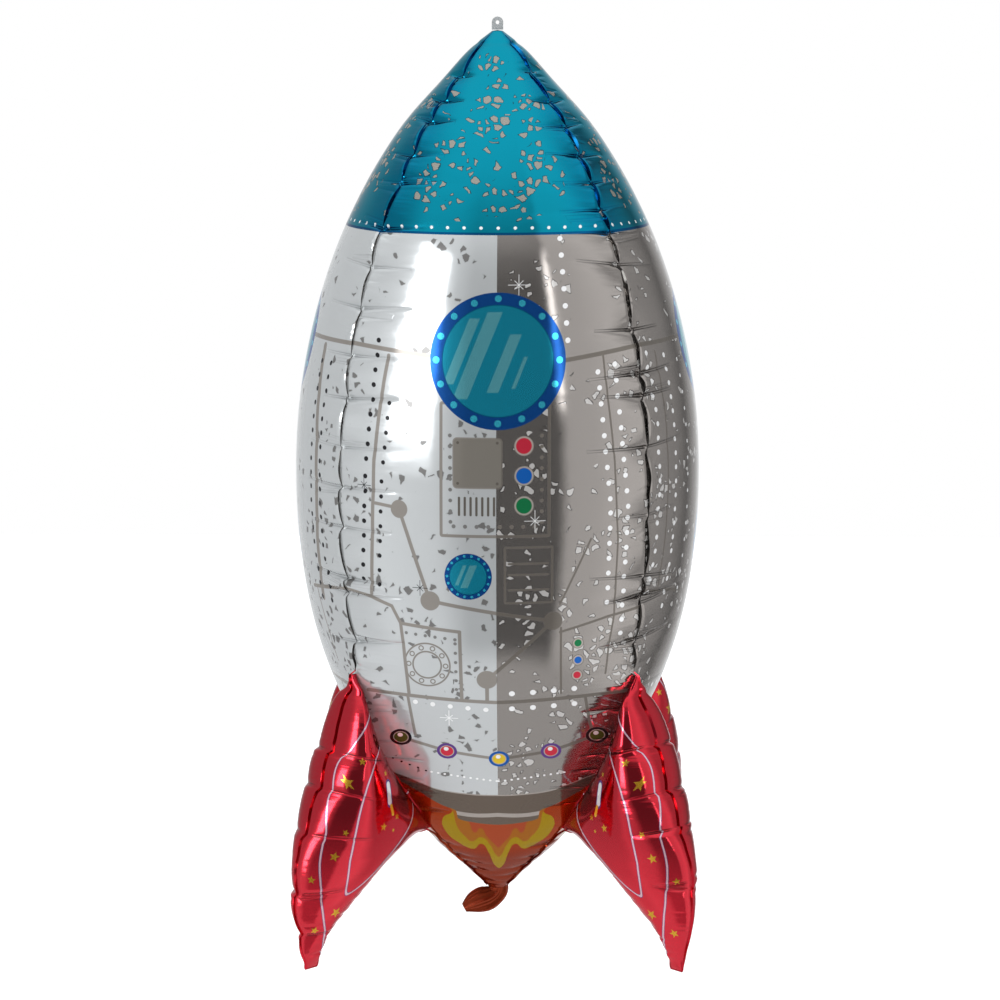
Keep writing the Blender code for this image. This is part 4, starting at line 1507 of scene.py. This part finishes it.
@dataclass
class FinFilm:
    """Four fins, each of two inflated film faces with gathered edges."""

    body: BodyForm
    fin: FinForm
    rows: int = 230
    columns: int = 61
    crowding: float = 0.9
    flank_shift: float = 0.009
    front_shift: float = 0.0008
    root_share: float = 0.47
    root_sink: float = 0.006
    let_out: float = 0.0012
    samples: int = 400
    # how far the outer and the lower edge's pinches draw the film in, and aside
    pull_reach: tuple[float, float] = (0.014, 0.010)
    aside_reach: tuple[float, float] = (0.012, 0.010)
    # shares of a fold's depth, reach and width
    broad: tuple[float, float, float] = (0.35, 1.5, 3.2)

    def edge_puckers(self, corner: int) -> tuple[Puckers, Puckers]:
        """Puckers of a fin's outer edge and of its lower edge."""
        seed = 401 + 13 * corner
        outer = Puckers(
            seed,
            0.010,
            0.236,
            lobe=(0.028, 0.052),
            sidestep=0.0020,
            fold_depth=(0.0008, 0.0017),
            fold_reach=(0.020, 0.042),
        )
        lower = Puckers(
            seed + 1,
            0.012,
            0.150,
            lobe=(0.009, 0.018),
            pinch=0.0010,
            sidestep=0.0006,
            fold_depth=(0.0005, 0.0014),
            fold_reach=(0.008, 0.026),
        )
        return outer, lower

    def edges(self) -> tuple[Array, Array, Array, Array]:
        """Inner and outer edges as distances from the axis and depths, and the lengths along both."""
        depth = np.linspace(self.fin.top, self.fin.tip, self.samples)
        radius = smooth_table(self.fin.outline, 1, depth)
        run = run_along(np.column_stack([depth, radius]))
        outer_run = np.linspace(0, 1, self.rows) * run[-1]
        outer = np.stack([np.interp(outer_run, run, radius), np.interp(outer_run, run, depth)], -1)
        split = int(self.rows * self.root_share)
        root_depth = np.linspace(self.fin.top, self.fin.notch, split)
        root_radius = self.body.radius(np.ones_like(root_depth), root_depth) - self.root_sink
        by_radius = self.fin.lower_by_radius()
        low_radius = np.linspace(by_radius[0][0], by_radius[-1][0], self.samples)
        low_depth = smooth_table(by_radius, 1, low_radius)
        low_run = run_along(np.column_stack([low_depth, low_radius]))
        steps = np.linspace(0, low_run[-1], self.rows - split + 1)[1:]
        lower = np.stack([np.interp(steps, low_run, low_radius), np.interp(steps, low_run, low_depth)], -1)
        inner = np.concatenate([np.stack([root_radius, root_depth], -1), lower])
        return inner, outer, np.concatenate([np.zeros(split), steps]), outer_run

    def gathers(self, corner: int) -> tuple[Gather, Gather]:
        """Gathers of a fin's outer edge, and of its root and lower edge."""
        inner, outer, inner_run, outer_run = self.edges()
        first, second = self.edge_puckers(corner)
        held = fade(outer_run, 0.004, 0.016) * fade(outer_run, outer_run[-1], outer_run[-1] - 0.010)
        pull = (first.pinch * first.pull(outer_run) - self.let_out) * held
        low_held = fade(inner_run, 0.006, 0.016) * fade(inner_run, inner_run[-1], inner_run[-1] - 0.010)
        low_held *= inner_run > 0
        low_pull = second.pinch * second.pull(inner_run) * low_held
        return (
            Gather(outward(outer), pull, first.aside(outer_run) * held),
            Gather(-outward(inner), low_pull, second.aside(inner_run) * low_held),
        )

    def face(self, corner: int, side: int) -> FilmGrid:
        """Film of one face.

        Args:
            corner: Corner of the body that the fin stands on.
            side: 1 on the side of rising azimuth, -1 on the other.

        Returns:
            The grid, whose share map has the share to the outer edge and the film's slope.
        """
        inner, outer, inner_run, outer_run = self.edges()
        p = (spread_to_ends(self.columns, self.crowding) + 1) / 2
        place = inner[:, None] + (outer - inner)[:, None] * p[None, :, None]
        span = np.linalg.norm(outer - inner, axis=1)[:, None]
        from_outer, from_inner = (1 - p)[None] * span, p[None] * span
        r, d = place[..., 0], place[..., 1]
        thick = self.fin.half_thickness(self.body, r, d)
        thick *= np.sqrt(fade(d, self.fin.top - 0.002, self.fin.top + 0.022))
        outer_along = np.broadcast_to(outer_run[:, None], r.shape)
        inner_along = np.broadcast_to(inner_run[:, None], r.shape)
        made, low_made = (puckers.folds(side) for puckers in self.edge_puckers(corner))
        folds, low_folds = np.zeros_like(r), np.zeros_like(r)
        broad = [fold.broadened(*self.broad) for fold in made if fold.reach > BROAD_FROM]
        add_folds(folds, made + broad, outer_along, from_outer)
        add_folds(low_folds, low_made, inner_along, from_inner)
        folds += low_folds * (inner_run > 0)[:, None]
        lateral = np.maximum(thick + folds * fade(thick, 0.0, 0.006), 0.0)
        shift, aside = np.zeros_like(place), np.zeros_like(r)
        for gather, away, pull_reach, aside_reach in zip(
            self.gathers(corner), (from_outer, from_inner), self.pull_reach, self.aside_reach
        ):
            near = gather.pull[:, None] * np.exp(-((away / pull_reach) ** 1.5))
            shift -= gather.outward[:, None] * near[..., None]
            aside += gather.aside[:, None] * np.exp(-((away / aside_reach) ** 1.6))
        points = from_corner(np.dstack([place + shift, lateral * side + aside]))
        on_flank = corner % 2 == (0 if side > 0 else 1)
        film = place + np.array([self.flank_shift if on_flank else -self.front_shift, 0.0])
        flat, rise = np.gradient(r, axis=1), np.gradient(thick, axis=1)
        slope = np.abs(flat) / np.maximum(np.hypot(flat, rise), 1e-9)
        share = np.stack([np.broadcast_to(p[None], r.shape), slope], -1)
        lines = crease_lines([(made, outer_along, from_outer)])
        points = turned(points, corner)
        maps = {"film": film, "share": share, "crease": lines}
        return FilmGrid(points, grid_normals(points) * -side, maps, side > 0)

    def edge_line(self, corner: int) -> tuple[Array, Array]:
        """Sealed edge of a fin after its puckers, down the outer edge and back along the lower one.

        Args:
            corner: Corner of the body that the fin stands on.

        Returns:
            Points (distance from the axis, depth, sideways) and their outward vectors.
        """
        inner, outer, inner_run, _ = self.edges()
        first, second = self.gathers(corner)
        below = inner_run > 0
        points = np.concatenate([first.moved(outer), second.moved(inner)[below][::-1]])
        return points, np.concatenate([first.outward, second.outward[below][::-1]])

    def build(self, material: bpy.types.Material) -> None:
        """Makes the eight faces."""
        for corner, name in enumerate(CORNERS):
            for step, side in ((0, -1), (1, 1)):
                panel = PANEL_SIDES[(corner + step) % 4]
                piece, node = f"fin_film_{name}_{panel}", f"fin_{name}_{panel}_face"
                self.face(corner, side).build(piece, material, node, "fin_foil")


def set_input(modifier: bpy.types.NodesModifier, name: str, value: object) -> None:
    """Sets a Geometry Nodes modifier's input by its socket's identifier."""
    items = modifier.node_group.interface.items_tree
    identifier = next(i.identifier for i in items if i.item_type == "SOCKET" and i.in_out == "INPUT" and i.name == name)
    modifier[identifier] = value


@dataclass
class SealedEdge:
    """Flat edge of heat-sealed film that follows a seam down the body, round the fin and on to the tail."""

    body: BodyForm
    fins: FinFilm
    seams: Sequence[SeamLine]
    width: float = 0.0017
    thickness: float = 0.0003
    body_pitch: float = 0.0012
    weld: float = 0.00002
    lean: float = 0.4
    wave_span: int = 25
    smoothings: int = 3
    sharp: float = math.radians(50)
    # width above the fins, which swells along each lobe so that the dark strip draws the painted shade of the valley
    # beside the seam: its share at a pinch, and what a lobe adds to it
    leaf: tuple[float, float] = (0.25, 1.15)
    # share of that width at each corner
    fullness: Row = (1.0, 1.0, 1.0, 0.7)

    def path(self, corner: int) -> tuple[Array, Array]:
        """Line of the seal in the plane of its corner.

        Args:
            corner: Corner of the body.

        Returns:
            Places (distance from the axis, depth, sideways), and vectors to the outer edge of the same kind.
        """
        fin = self.fins.fin
        lines, ways = [], []
        for low, high in ((0.004, fin.top - 0.002), (fin.notch + 0.006, self.body.length - 0.004)):
            arcs = np.arange(float(self.body.arc(low)), float(self.body.arc(high)), self.body_pitch)
            depth = self.body.depth_at(arcs)
            inward, aside = self.seams[corner].shift(arcs)
            radius = self.body.radius(np.ones_like(depth), depth)
            lines.append(np.column_stack([radius - inward, depth, aside]))
            ways.append(outward(np.column_stack([radius, depth])))
        edge, edge_ways = self.fins.edge_line(corner)
        line = np.concatenate([lines[0], edge, lines[1]])
        ways = np.concatenate([ways[0], edge_ways, ways[1]])
        _, lobe = self.seams[corner].upper.phase(self.body.arc(lines[0][:, 1]))
        size = np.ones((len(line), 1))
        narrow, wider = self.leaf
        size[: len(lobe), 0] = (narrow + wider * np.sin(np.pi * lobe)) * self.fullness[corner]
        for _ in range(self.smoothings):
            ways[1:-1] = (ways[:-2] + ways[1:-1] * 2 + ways[2:]) / 4
        ways /= np.linalg.norm(ways, axis=1, keepdims=True)
        rng = np.random.default_rng(900 + corner)
        draws = rng.normal(0, 1, len(line) + self.wave_span - 1)
        waves = np.convolve(draws, np.hanning(self.wave_span) / 4.0, mode="valid")
        return line, np.column_stack([ways, waves * self.lean]) * size

    def tree(self) -> bpy.types.NodeTree:
        """Geometry Nodes tree that makes a strip of film from a line whose points know their outward way."""
        tree = bpy.data.node_groups.new("sealed_edge", "GeometryNodeTree")
        for label, kind, way in (
            ("Line", "Geometry", "INPUT"),
            ("Width", "Float", "INPUT"),
            ("Thickness", "Float", "INPUT"),
            ("Material", "Material", "INPUT"),
            ("Strip", "Geometry", "OUTPUT"),
        ):
            tree.interface.new_socket(label, in_out=way, socket_type=f"NodeSocket{kind}")
        s = Sketch(tree)
        given = s.node("NodeGroupInput").outputs

        def known(name: str, kind: str = "FLOAT") -> Socket:
            """Attribute of the points."""
            return s.node("GeometryNodeInputNamedAttribute", {"Name": name}, data_type=kind).outputs["Attribute"]

        def stored(geometry: Socket, name: str, value: Feed, on: Feed, kind: str, domain: str) -> Socket:
            """Geometry with an attribute stored on it."""
            feeds = {"Geometry": geometry, "Selection": on, "Name": name, "Value": value}
            made = s.node("GeometryNodeStoreNamedAttribute", feeds, data_type=kind, domain=domain)
            return made.outputs["Geometry"]

        line = stored(given["Line"], "aside", 0.0, True, "FLOAT", "POINT")
        feeds = {"Mesh": line, "Offset": known("outward", "FLOAT_VECTOR"), "Offset Scale": given["Width"]}
        strip = s.node("GeometryNodeExtrudeMesh", feeds, mode="EDGES").outputs
        flat = stored(strip["Mesh"], "aside", given["Width"], strip["Top"], "FLOAT", "POINT")
        feeds = {"Mesh": flat, "Offset Scale": given["Thickness"], "Individual": False}
        walls = s.node("GeometryNodeExtrudeMesh", feeds, mode="FACES").outputs["Mesh"]
        back = s.node("GeometryNodeFlipFaces", {"Mesh": flat}).outputs["Mesh"]
        both = s.node("GeometryNodeJoinGeometry", {"Geometry": walls})
        s.feed(both.inputs["Geometry"], back)
        feeds = {"Geometry": both.outputs["Geometry"], "Distance": self.weld}
        welded = s.node("GeometryNodeMergeByDistance", feeds).outputs["Geometry"]
        film = stored(welded, "film", s.join(known("aside"), known("run")), True, "FLOAT2", "CORNER")
        real = s.node("GeometryNodeRealizeInstances", {"Geometry": film}).outputs["Geometry"]
        dressed = s.node("GeometryNodeSetMaterial", {"Geometry": real, "Material": given["Material"]})
        s.node("NodeGroupOutput", {"Strip": dressed.outputs["Geometry"]})
        return tree

    def holder(self, corner: int, name: str) -> bpy.types.Object:
        """Line of one seal, with its outward ways and its lengths as attributes."""
        line, ways = self.path(corner)
        points = from_corner(line - np.array([0, 0, self.thickness / 2]))
        mesh = bpy.data.meshes.new(f"seal_line_{name}")
        edges = [(i, i + 1) for i in range(len(points) - 1)]
        mesh.from_pydata(turned(points, corner).tolist(), edges, [])
        outward_ways = turned(from_corner(ways, 0.0), corner)
        mesh.attributes.new("outward", "FLOAT_VECTOR", "POINT").data.foreach_set("vector", outward_ways.ravel())
        mesh.attributes.new("run", "FLOAT", "POINT").data.foreach_set("value", run_along(points))
        return placed(f"seal_{name}", mesh)

    def build(self, material: bpy.types.Material) -> None:
        """Makes the four sealed edges."""
        tree = self.tree()
        for corner, name in enumerate(CORNERS):
            holder = self.holder(corner, name)
            modifier = holder.modifiers.new("strip", "NODES")
            modifier.node_group = tree
            for label, value in (("Width", self.width), ("Thickness", self.thickness), ("Material", material)):
                set_input(modifier, label, value)
            bpy.context.view_layer.update()
            evaluated = holder.evaluated_get(bpy.context.evaluated_depsgraph_get())
            result = bpy.data.meshes.new_from_object(evaluated)
            holder.modifiers.remove(modifier)
            holder.data = result
            result.name = f"seal_{name}"
            for extra in ("outward", "run", "aside"):
                result.attributes.remove(result.attributes[extra])
            result.shade_smooth()
            result.set_sharp_from_angle(angle=self.sharp)
            register(holder, [f"seam_{name}"])


@dataclass
class FillingNeck:
    """Crumpled end of the filling neck, bent over under the tail."""

    body: BodyForm
    sections: int = 64
    around: int = 120
    sharp: float = math.radians(55)
    # pleats around the neck, share of its size
    pleats: tuple[tuple[int, float], ...] = ((2, 0.08), (7, 0.10), (13, 0.09), (21, 0.05))
    # share of the length, sideways, height under the tail, half width, half thickness
    shape: tuple[tuple[float, float, float, float, float], ...] = (
        (0.00, 0.0000, 0.0040, 0.0085, 0.0065),
        (0.14, 0.0008, -0.0020, 0.0076, 0.0048),
        (0.28, -0.0014, -0.0066, 0.0074, 0.0036),
        (0.42, -0.0062, -0.0098, 0.0088, 0.0036),
        (0.60, -0.0122, -0.0120, 0.0096, 0.0040),
        (0.80, -0.0200, -0.0155, 0.0080, 0.0034),
        (1.00, -0.0275, -0.0195, 0.0036, 0.0012),
    )

    def build(self, material: bpy.types.Material) -> None:
        """Makes the neck."""
        s = np.linspace(0, 1, self.sections)
        x, z, wide, flat = (smooth_table(self.shape, column, s) for column in range(1, 5))
        centre = np.column_stack([x, np.zeros_like(x), z])
        tangent = np.gradient(centre, axis=0)
        tangent /= np.linalg.norm(tangent, axis=1, keepdims=True)
        flank = np.array([0.0, 1.0, 0.0])
        across = np.cross(tangent, flank)
        angle = np.linspace(0, 2 * math.pi, self.around, endpoint=False)
        rng = np.random.default_rng(77)
        pleat = np.zeros((self.sections, self.around))
        for count, size in self.pleats:
            turn = rng.uniform(0, 6.28) + 0.5 * np.sin(3.0 * s + count)
            pleat += size * np.cos(count * angle[None] + turn[:, None])
        size = 1 + pleat * fade(s, 0.0, 0.25)[:, None]
        rumple = 0.0006 * np.sin(8.0 * s + 1.0)
        ring = (
            centre[:, None]
            + across[:, None] * (wide[:, None] * np.cos(angle) * size)[..., None]
            + flank * ((flat[:, None] * np.sin(angle) * size) + rumple[:, None])[..., None]
        )
        points = ring.reshape(-1, 3) + np.array([0, 0, -TIP_BELOW_HOLE - self.body.length])
        row = np.arange(self.sections - 1)[:, None] * self.around
        k = np.arange(self.around)[None]
        after = (k + 1) % self.around
        quads = np.stack([row + k, row + after, row + self.around + after, row + self.around + k], -1)
        ends = [k[0, ::-1].tolist(), (k[0] + (self.sections - 1) * self.around).tolist()]
        mesh = bpy.data.meshes.new("filling_neck_film")
        mesh.from_pydata(points.tolist(), [], quads.reshape(-1, 4).tolist() + ends)
        shape = bmesh.new()
        shape.from_mesh(mesh)
        bmesh.ops.recalc_face_normals(shape, faces=shape.faces[:])
        if shape.calc_volume(signed=True) < 0:
            bmesh.ops.reverse_faces(shape, faces=shape.faces[:])
        shape.to_mesh(mesh)
        shape.free()
        mesh.shade_smooth()
        mesh.set_sharp_from_angle(angle=self.sharp)
        mesh.materials.append(material)
        register(placed("filling_neck_film", mesh), ["filling_neck"])


@dataclass
class Studio:
    """Camera at the photograph's angle, pale floor, and the soft surround that the film mirrors."""

    camera_at: Row = (0.0482, -2.2995, 0.0140)
    aim: Row = (0.0, 0.0, -0.386)
    lights_aim: Row = (0.0, 0.0, -0.35)
    lens: float = 103.75
    sensor: float = 36.0
    shift: tuple[float, float] = (0.0025, 0.0054)
    floor_under: float = 1.9
    floor_half: float = 12.0
    # brightness of the surround overhead and underneath
    above: float = 1.0
    below: float = 0.61
    # place, size, power
    lights: tuple[tuple[str, Row, Row, float], ...] = (
        ("overhead", (0.0, -0.3, 2.2), (2.4, 2.4), 26.0),
        ("left", (-1.9, -1.7, 0.2), (0.8, 2.0), 9.0),
        ("right", (2.2, -1.5, 0.1), (0.5, 2.0), 8.0),
    )
    # share of a turn from the back, by way of the left, front and right, and the surround's brightness there
    surround: Curve = (
        (0.00, 0.90), (0.04, 0.85), (0.08, 0.65), (0.13, 0.48), (0.20, 0.45), (0.30, 0.50), (0.335, 0.72),
        (0.41, 0.56), (0.435, 0.34), (0.455, 0.14), (0.592, 0.14), (0.606, 0.74), (0.640, 0.78), (0.680, 0.95),
        (0.700, 0.74), (0.725, 0.44), (0.80, 0.52), (0.86, 0.40), (0.89, 0.22), (0.92, 0.60), (0.96, 1.05),
        (1.00, 0.90),
    )
    # bright panels: brightness by the same share, rise and fall over the height, power
    boxes: tuple[tuple[Curve, Row, Row, float], ...] = (
        (
            (
                (0.00, 0.0), (0.328, 0.0), (0.345, 0.07), (0.354, 1.0), (0.400, 1.0), (0.410, 0.07), (0.424, 0.0),
                (1.00, 0.0),
            ),
            (-0.11, 0.16),
            (0.615, 0.585),
            5.0,
        ),
        (
            ((0.00, 0.0), (0.592, 0.0), (0.5965, 1.0), (0.6015, 1.0), (0.606, 0.0), (1.00, 0.0)),
            (0.10, 0.20),
            (0.64, 0.56),
            2.6,
        ),
    )

    def build(self) -> None:
        """Sets up the whole studio."""
        self.build_camera()
        self.build_world()
        self.build_floor()
        self.build_lights()

    def build_camera(self) -> None:
        """Camera on the photograph's line of sight."""
        data = bpy.data.cameras.new("camera")
        data.lens, data.sensor_width = self.lens, self.sensor
        data.shift_x, data.shift_y = self.shift
        camera = placed("camera", data)
        self.aimed(camera, self.camera_at, self.aim)
        bpy.context.scene.camera = camera

    def aimed(self, thing: bpy.types.Object, at: Row, aim: Row) -> None:
        """Puts a camera or light at a place, turned to another."""
        thing.location = at
        thing.rotation_euler = (Vector(aim) - Vector(at)).to_track_quat("-Z", "Y").to_euler()

    def build_world(self) -> None:
        """White behind the balloon, and a soft surround with two bright panels for the film to mirror."""
        world = bpy.data.worlds.new("studio")
        world.use_nodes = True
        bpy.context.scene.world = world
        world.node_tree.nodes.clear()
        s = Sketch(world.node_tree)
        x, y, z = s.split(s.node("ShaderNodeTexCoord").outputs["Generated"])
        turn = s.math("MULTIPLY_ADD", s.math("ARCTAN2", x, s.mul(y, -1.0)), 1 / (2 * math.pi), 0.5)
        level = self.ramp(s, turn, self.surround)
        for points, low, high, power in self.boxes:
            lit = s.mul(self.ramp(s, turn, points), s.mul(s.step(z, *low), s.step(z, *high)))
            level = s.math("MULTIPLY_ADD", lit, power, level)
        level = s.blend(level, self.above, s.step(z, 0.50, 0.95))
        level = s.blend(level, self.below, s.step(z, -0.58, -0.72))
        mirrored = s.node("ShaderNodeBackground", {"Color": (0.97, 0.985, 1.0, 1.0), "Strength": level})
        behind = s.node("ShaderNodeBackground", {"Color": (1.0, 1.0, 1.0, 1.0), "Strength": 1.0})
        seen = s.node("ShaderNodeLightPath").outputs["Is Camera Ray"]
        mix = s.node("ShaderNodeMixShader", {0: seen, 1: mirrored.outputs[0], 2: behind.outputs[0]})
        s.node("ShaderNodeOutputWorld", {"Surface": mix.outputs[0]})

    def ramp(self, s: Sketch, turn: Socket, points: Curve) -> Socket:
        """Brightness by the share of a turn, straight from point to point."""
        top = max(level for _, level in points)
        return s.mul(s.knots(turn, [(place, level / top) for place, level in points], "VECTOR"), top)

    def build_floor(self) -> None:
        """Plain pale floor well below the fins."""
        mesh = bpy.data.meshes.new("floor")
        size, z = self.floor_half, CAD_BOX[0][2] - self.floor_under
        mesh.from_pydata([(-size, -size, z), (size, -size, z), (size, size, z), (-size, size, z)], [], [(0, 1, 2, 3)])
        material = bpy.data.materials.new("floor")
        material.use_nodes = True
        for label, value in {
            "Base Color": (0.93, 0.93, 0.93, 1.0),
            "Roughness": 0.9,
            "Emission Color": (1.0, 1.0, 1.0, 1.0),
            "Emission Strength": 0.45,
        }.items():
            material.node_tree.nodes["Principled BSDF"].inputs[label].default_value = value
        mesh.materials.append(material)
        floor = placed("floor", mesh)
        floor.visible_glossy = False

    def build_lights(self) -> None:
        """Large soft lights: one overhead and one at each side of the camera."""
        for name, at, size, power in self.lights:
            data = bpy.data.lights.new(name, "AREA")
            data.shape, data.size, data.size_y, data.energy = "RECTANGLE", size[0], size[1], power
            light = placed(name, data)
            self.aimed(light, at, self.lights_aim)
            light.visible_glossy = False


def make_materials(body: BodyForm, edge: SealedEdge) -> dict[str, bpy.types.Material]:
    """Finishes of the balloon by name."""
    line, _ = edge.path(0)
    run = run_along(line) * 1000
    upper = len(line) // 3
    nose_end = float(np.interp(body.nose_end, line[:upper, 1], run[:upper]))
    fin_start = float(run[np.argmax(line[:, 1] > edge.fins.fin.top - 0.003)])
    tail, cone_radius = line[::-1, 0][:200], 0.075
    cone = len(line) - 1 - int(np.argmin(np.abs(tail - cone_radius)))
    # sealed edge by film length: deep teal over the nose (the nose print darkened) and dark grey over the hull are
    # painted shade of the seam valleys; red over the fins and deep flame over the tail cone are print
    runs = (
        (0.0, Tone.TEAL_DEEP),
        (nose_end, Tone.SEAL_GREY),
        (fin_start, Tone.FIN_RED),
        (float(run[cone]), Tone.FLAME_DEEP),
    )
    sealed = Gloss(roughness=0.16, grain=0.0003)
    finishes: dict[str, tuple[Gloss, FilmPrint]] = {
        "nose_film": (Gloss(rim=0.60), NosePrint()),
        "instrument_film": (Gloss(), BodyPrint(PanelKind.INSTRUMENTS)),
        "plating_film": (Gloss(), BodyPrint(PanelKind.PLATING)),
        "fin_film": (Gloss(roughness=0.09, coat=0.45, rim=0.45), FinPrint()),
        "sealed_film": (sealed, SealPrint(runs)),
        "neck_film": (Gloss(roughness=0.20, grain=0.0003), PlainPrint(Tone.FLAME_DEEP, 0.3)),
        "tab_film": (sealed, PlainPrint(Tone.SILVER, 0.5)),
    }
    shapes = PrintShapes()
    return {name: gloss.material(name, shapes, film_print) for name, (gloss, film_print) in finishes.items()}


def main() -> None:
    """Builds the balloon and its studio."""
    logging.basicConfig(level=logging.INFO, format="%(name)s: %(message)s")
    bpy.context.scene.view_settings.view_transform = "Standard"
    body, fin = BodyForm(), FinForm()
    seams = [SeamLine(corner, body, fin) for corner in range(4)]
    fins = FinFilm(body, fin)
    edge = SealedEdge(body, fins, seams)
    materials = make_materials(body, edge)
    BodyFilm(body, seams).build(materials)
    fins.build(materials["fin_film"])
    edge.build(materials["sealed_film"])
    FillingNeck(body).build(materials["neck_film"])
    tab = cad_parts["hanging_tab"]
    tab.data.materials.clear()
    tab.data.materials.append(materials["tab_film"])
    Studio().build()


if __name__ == "__main__":
    main()
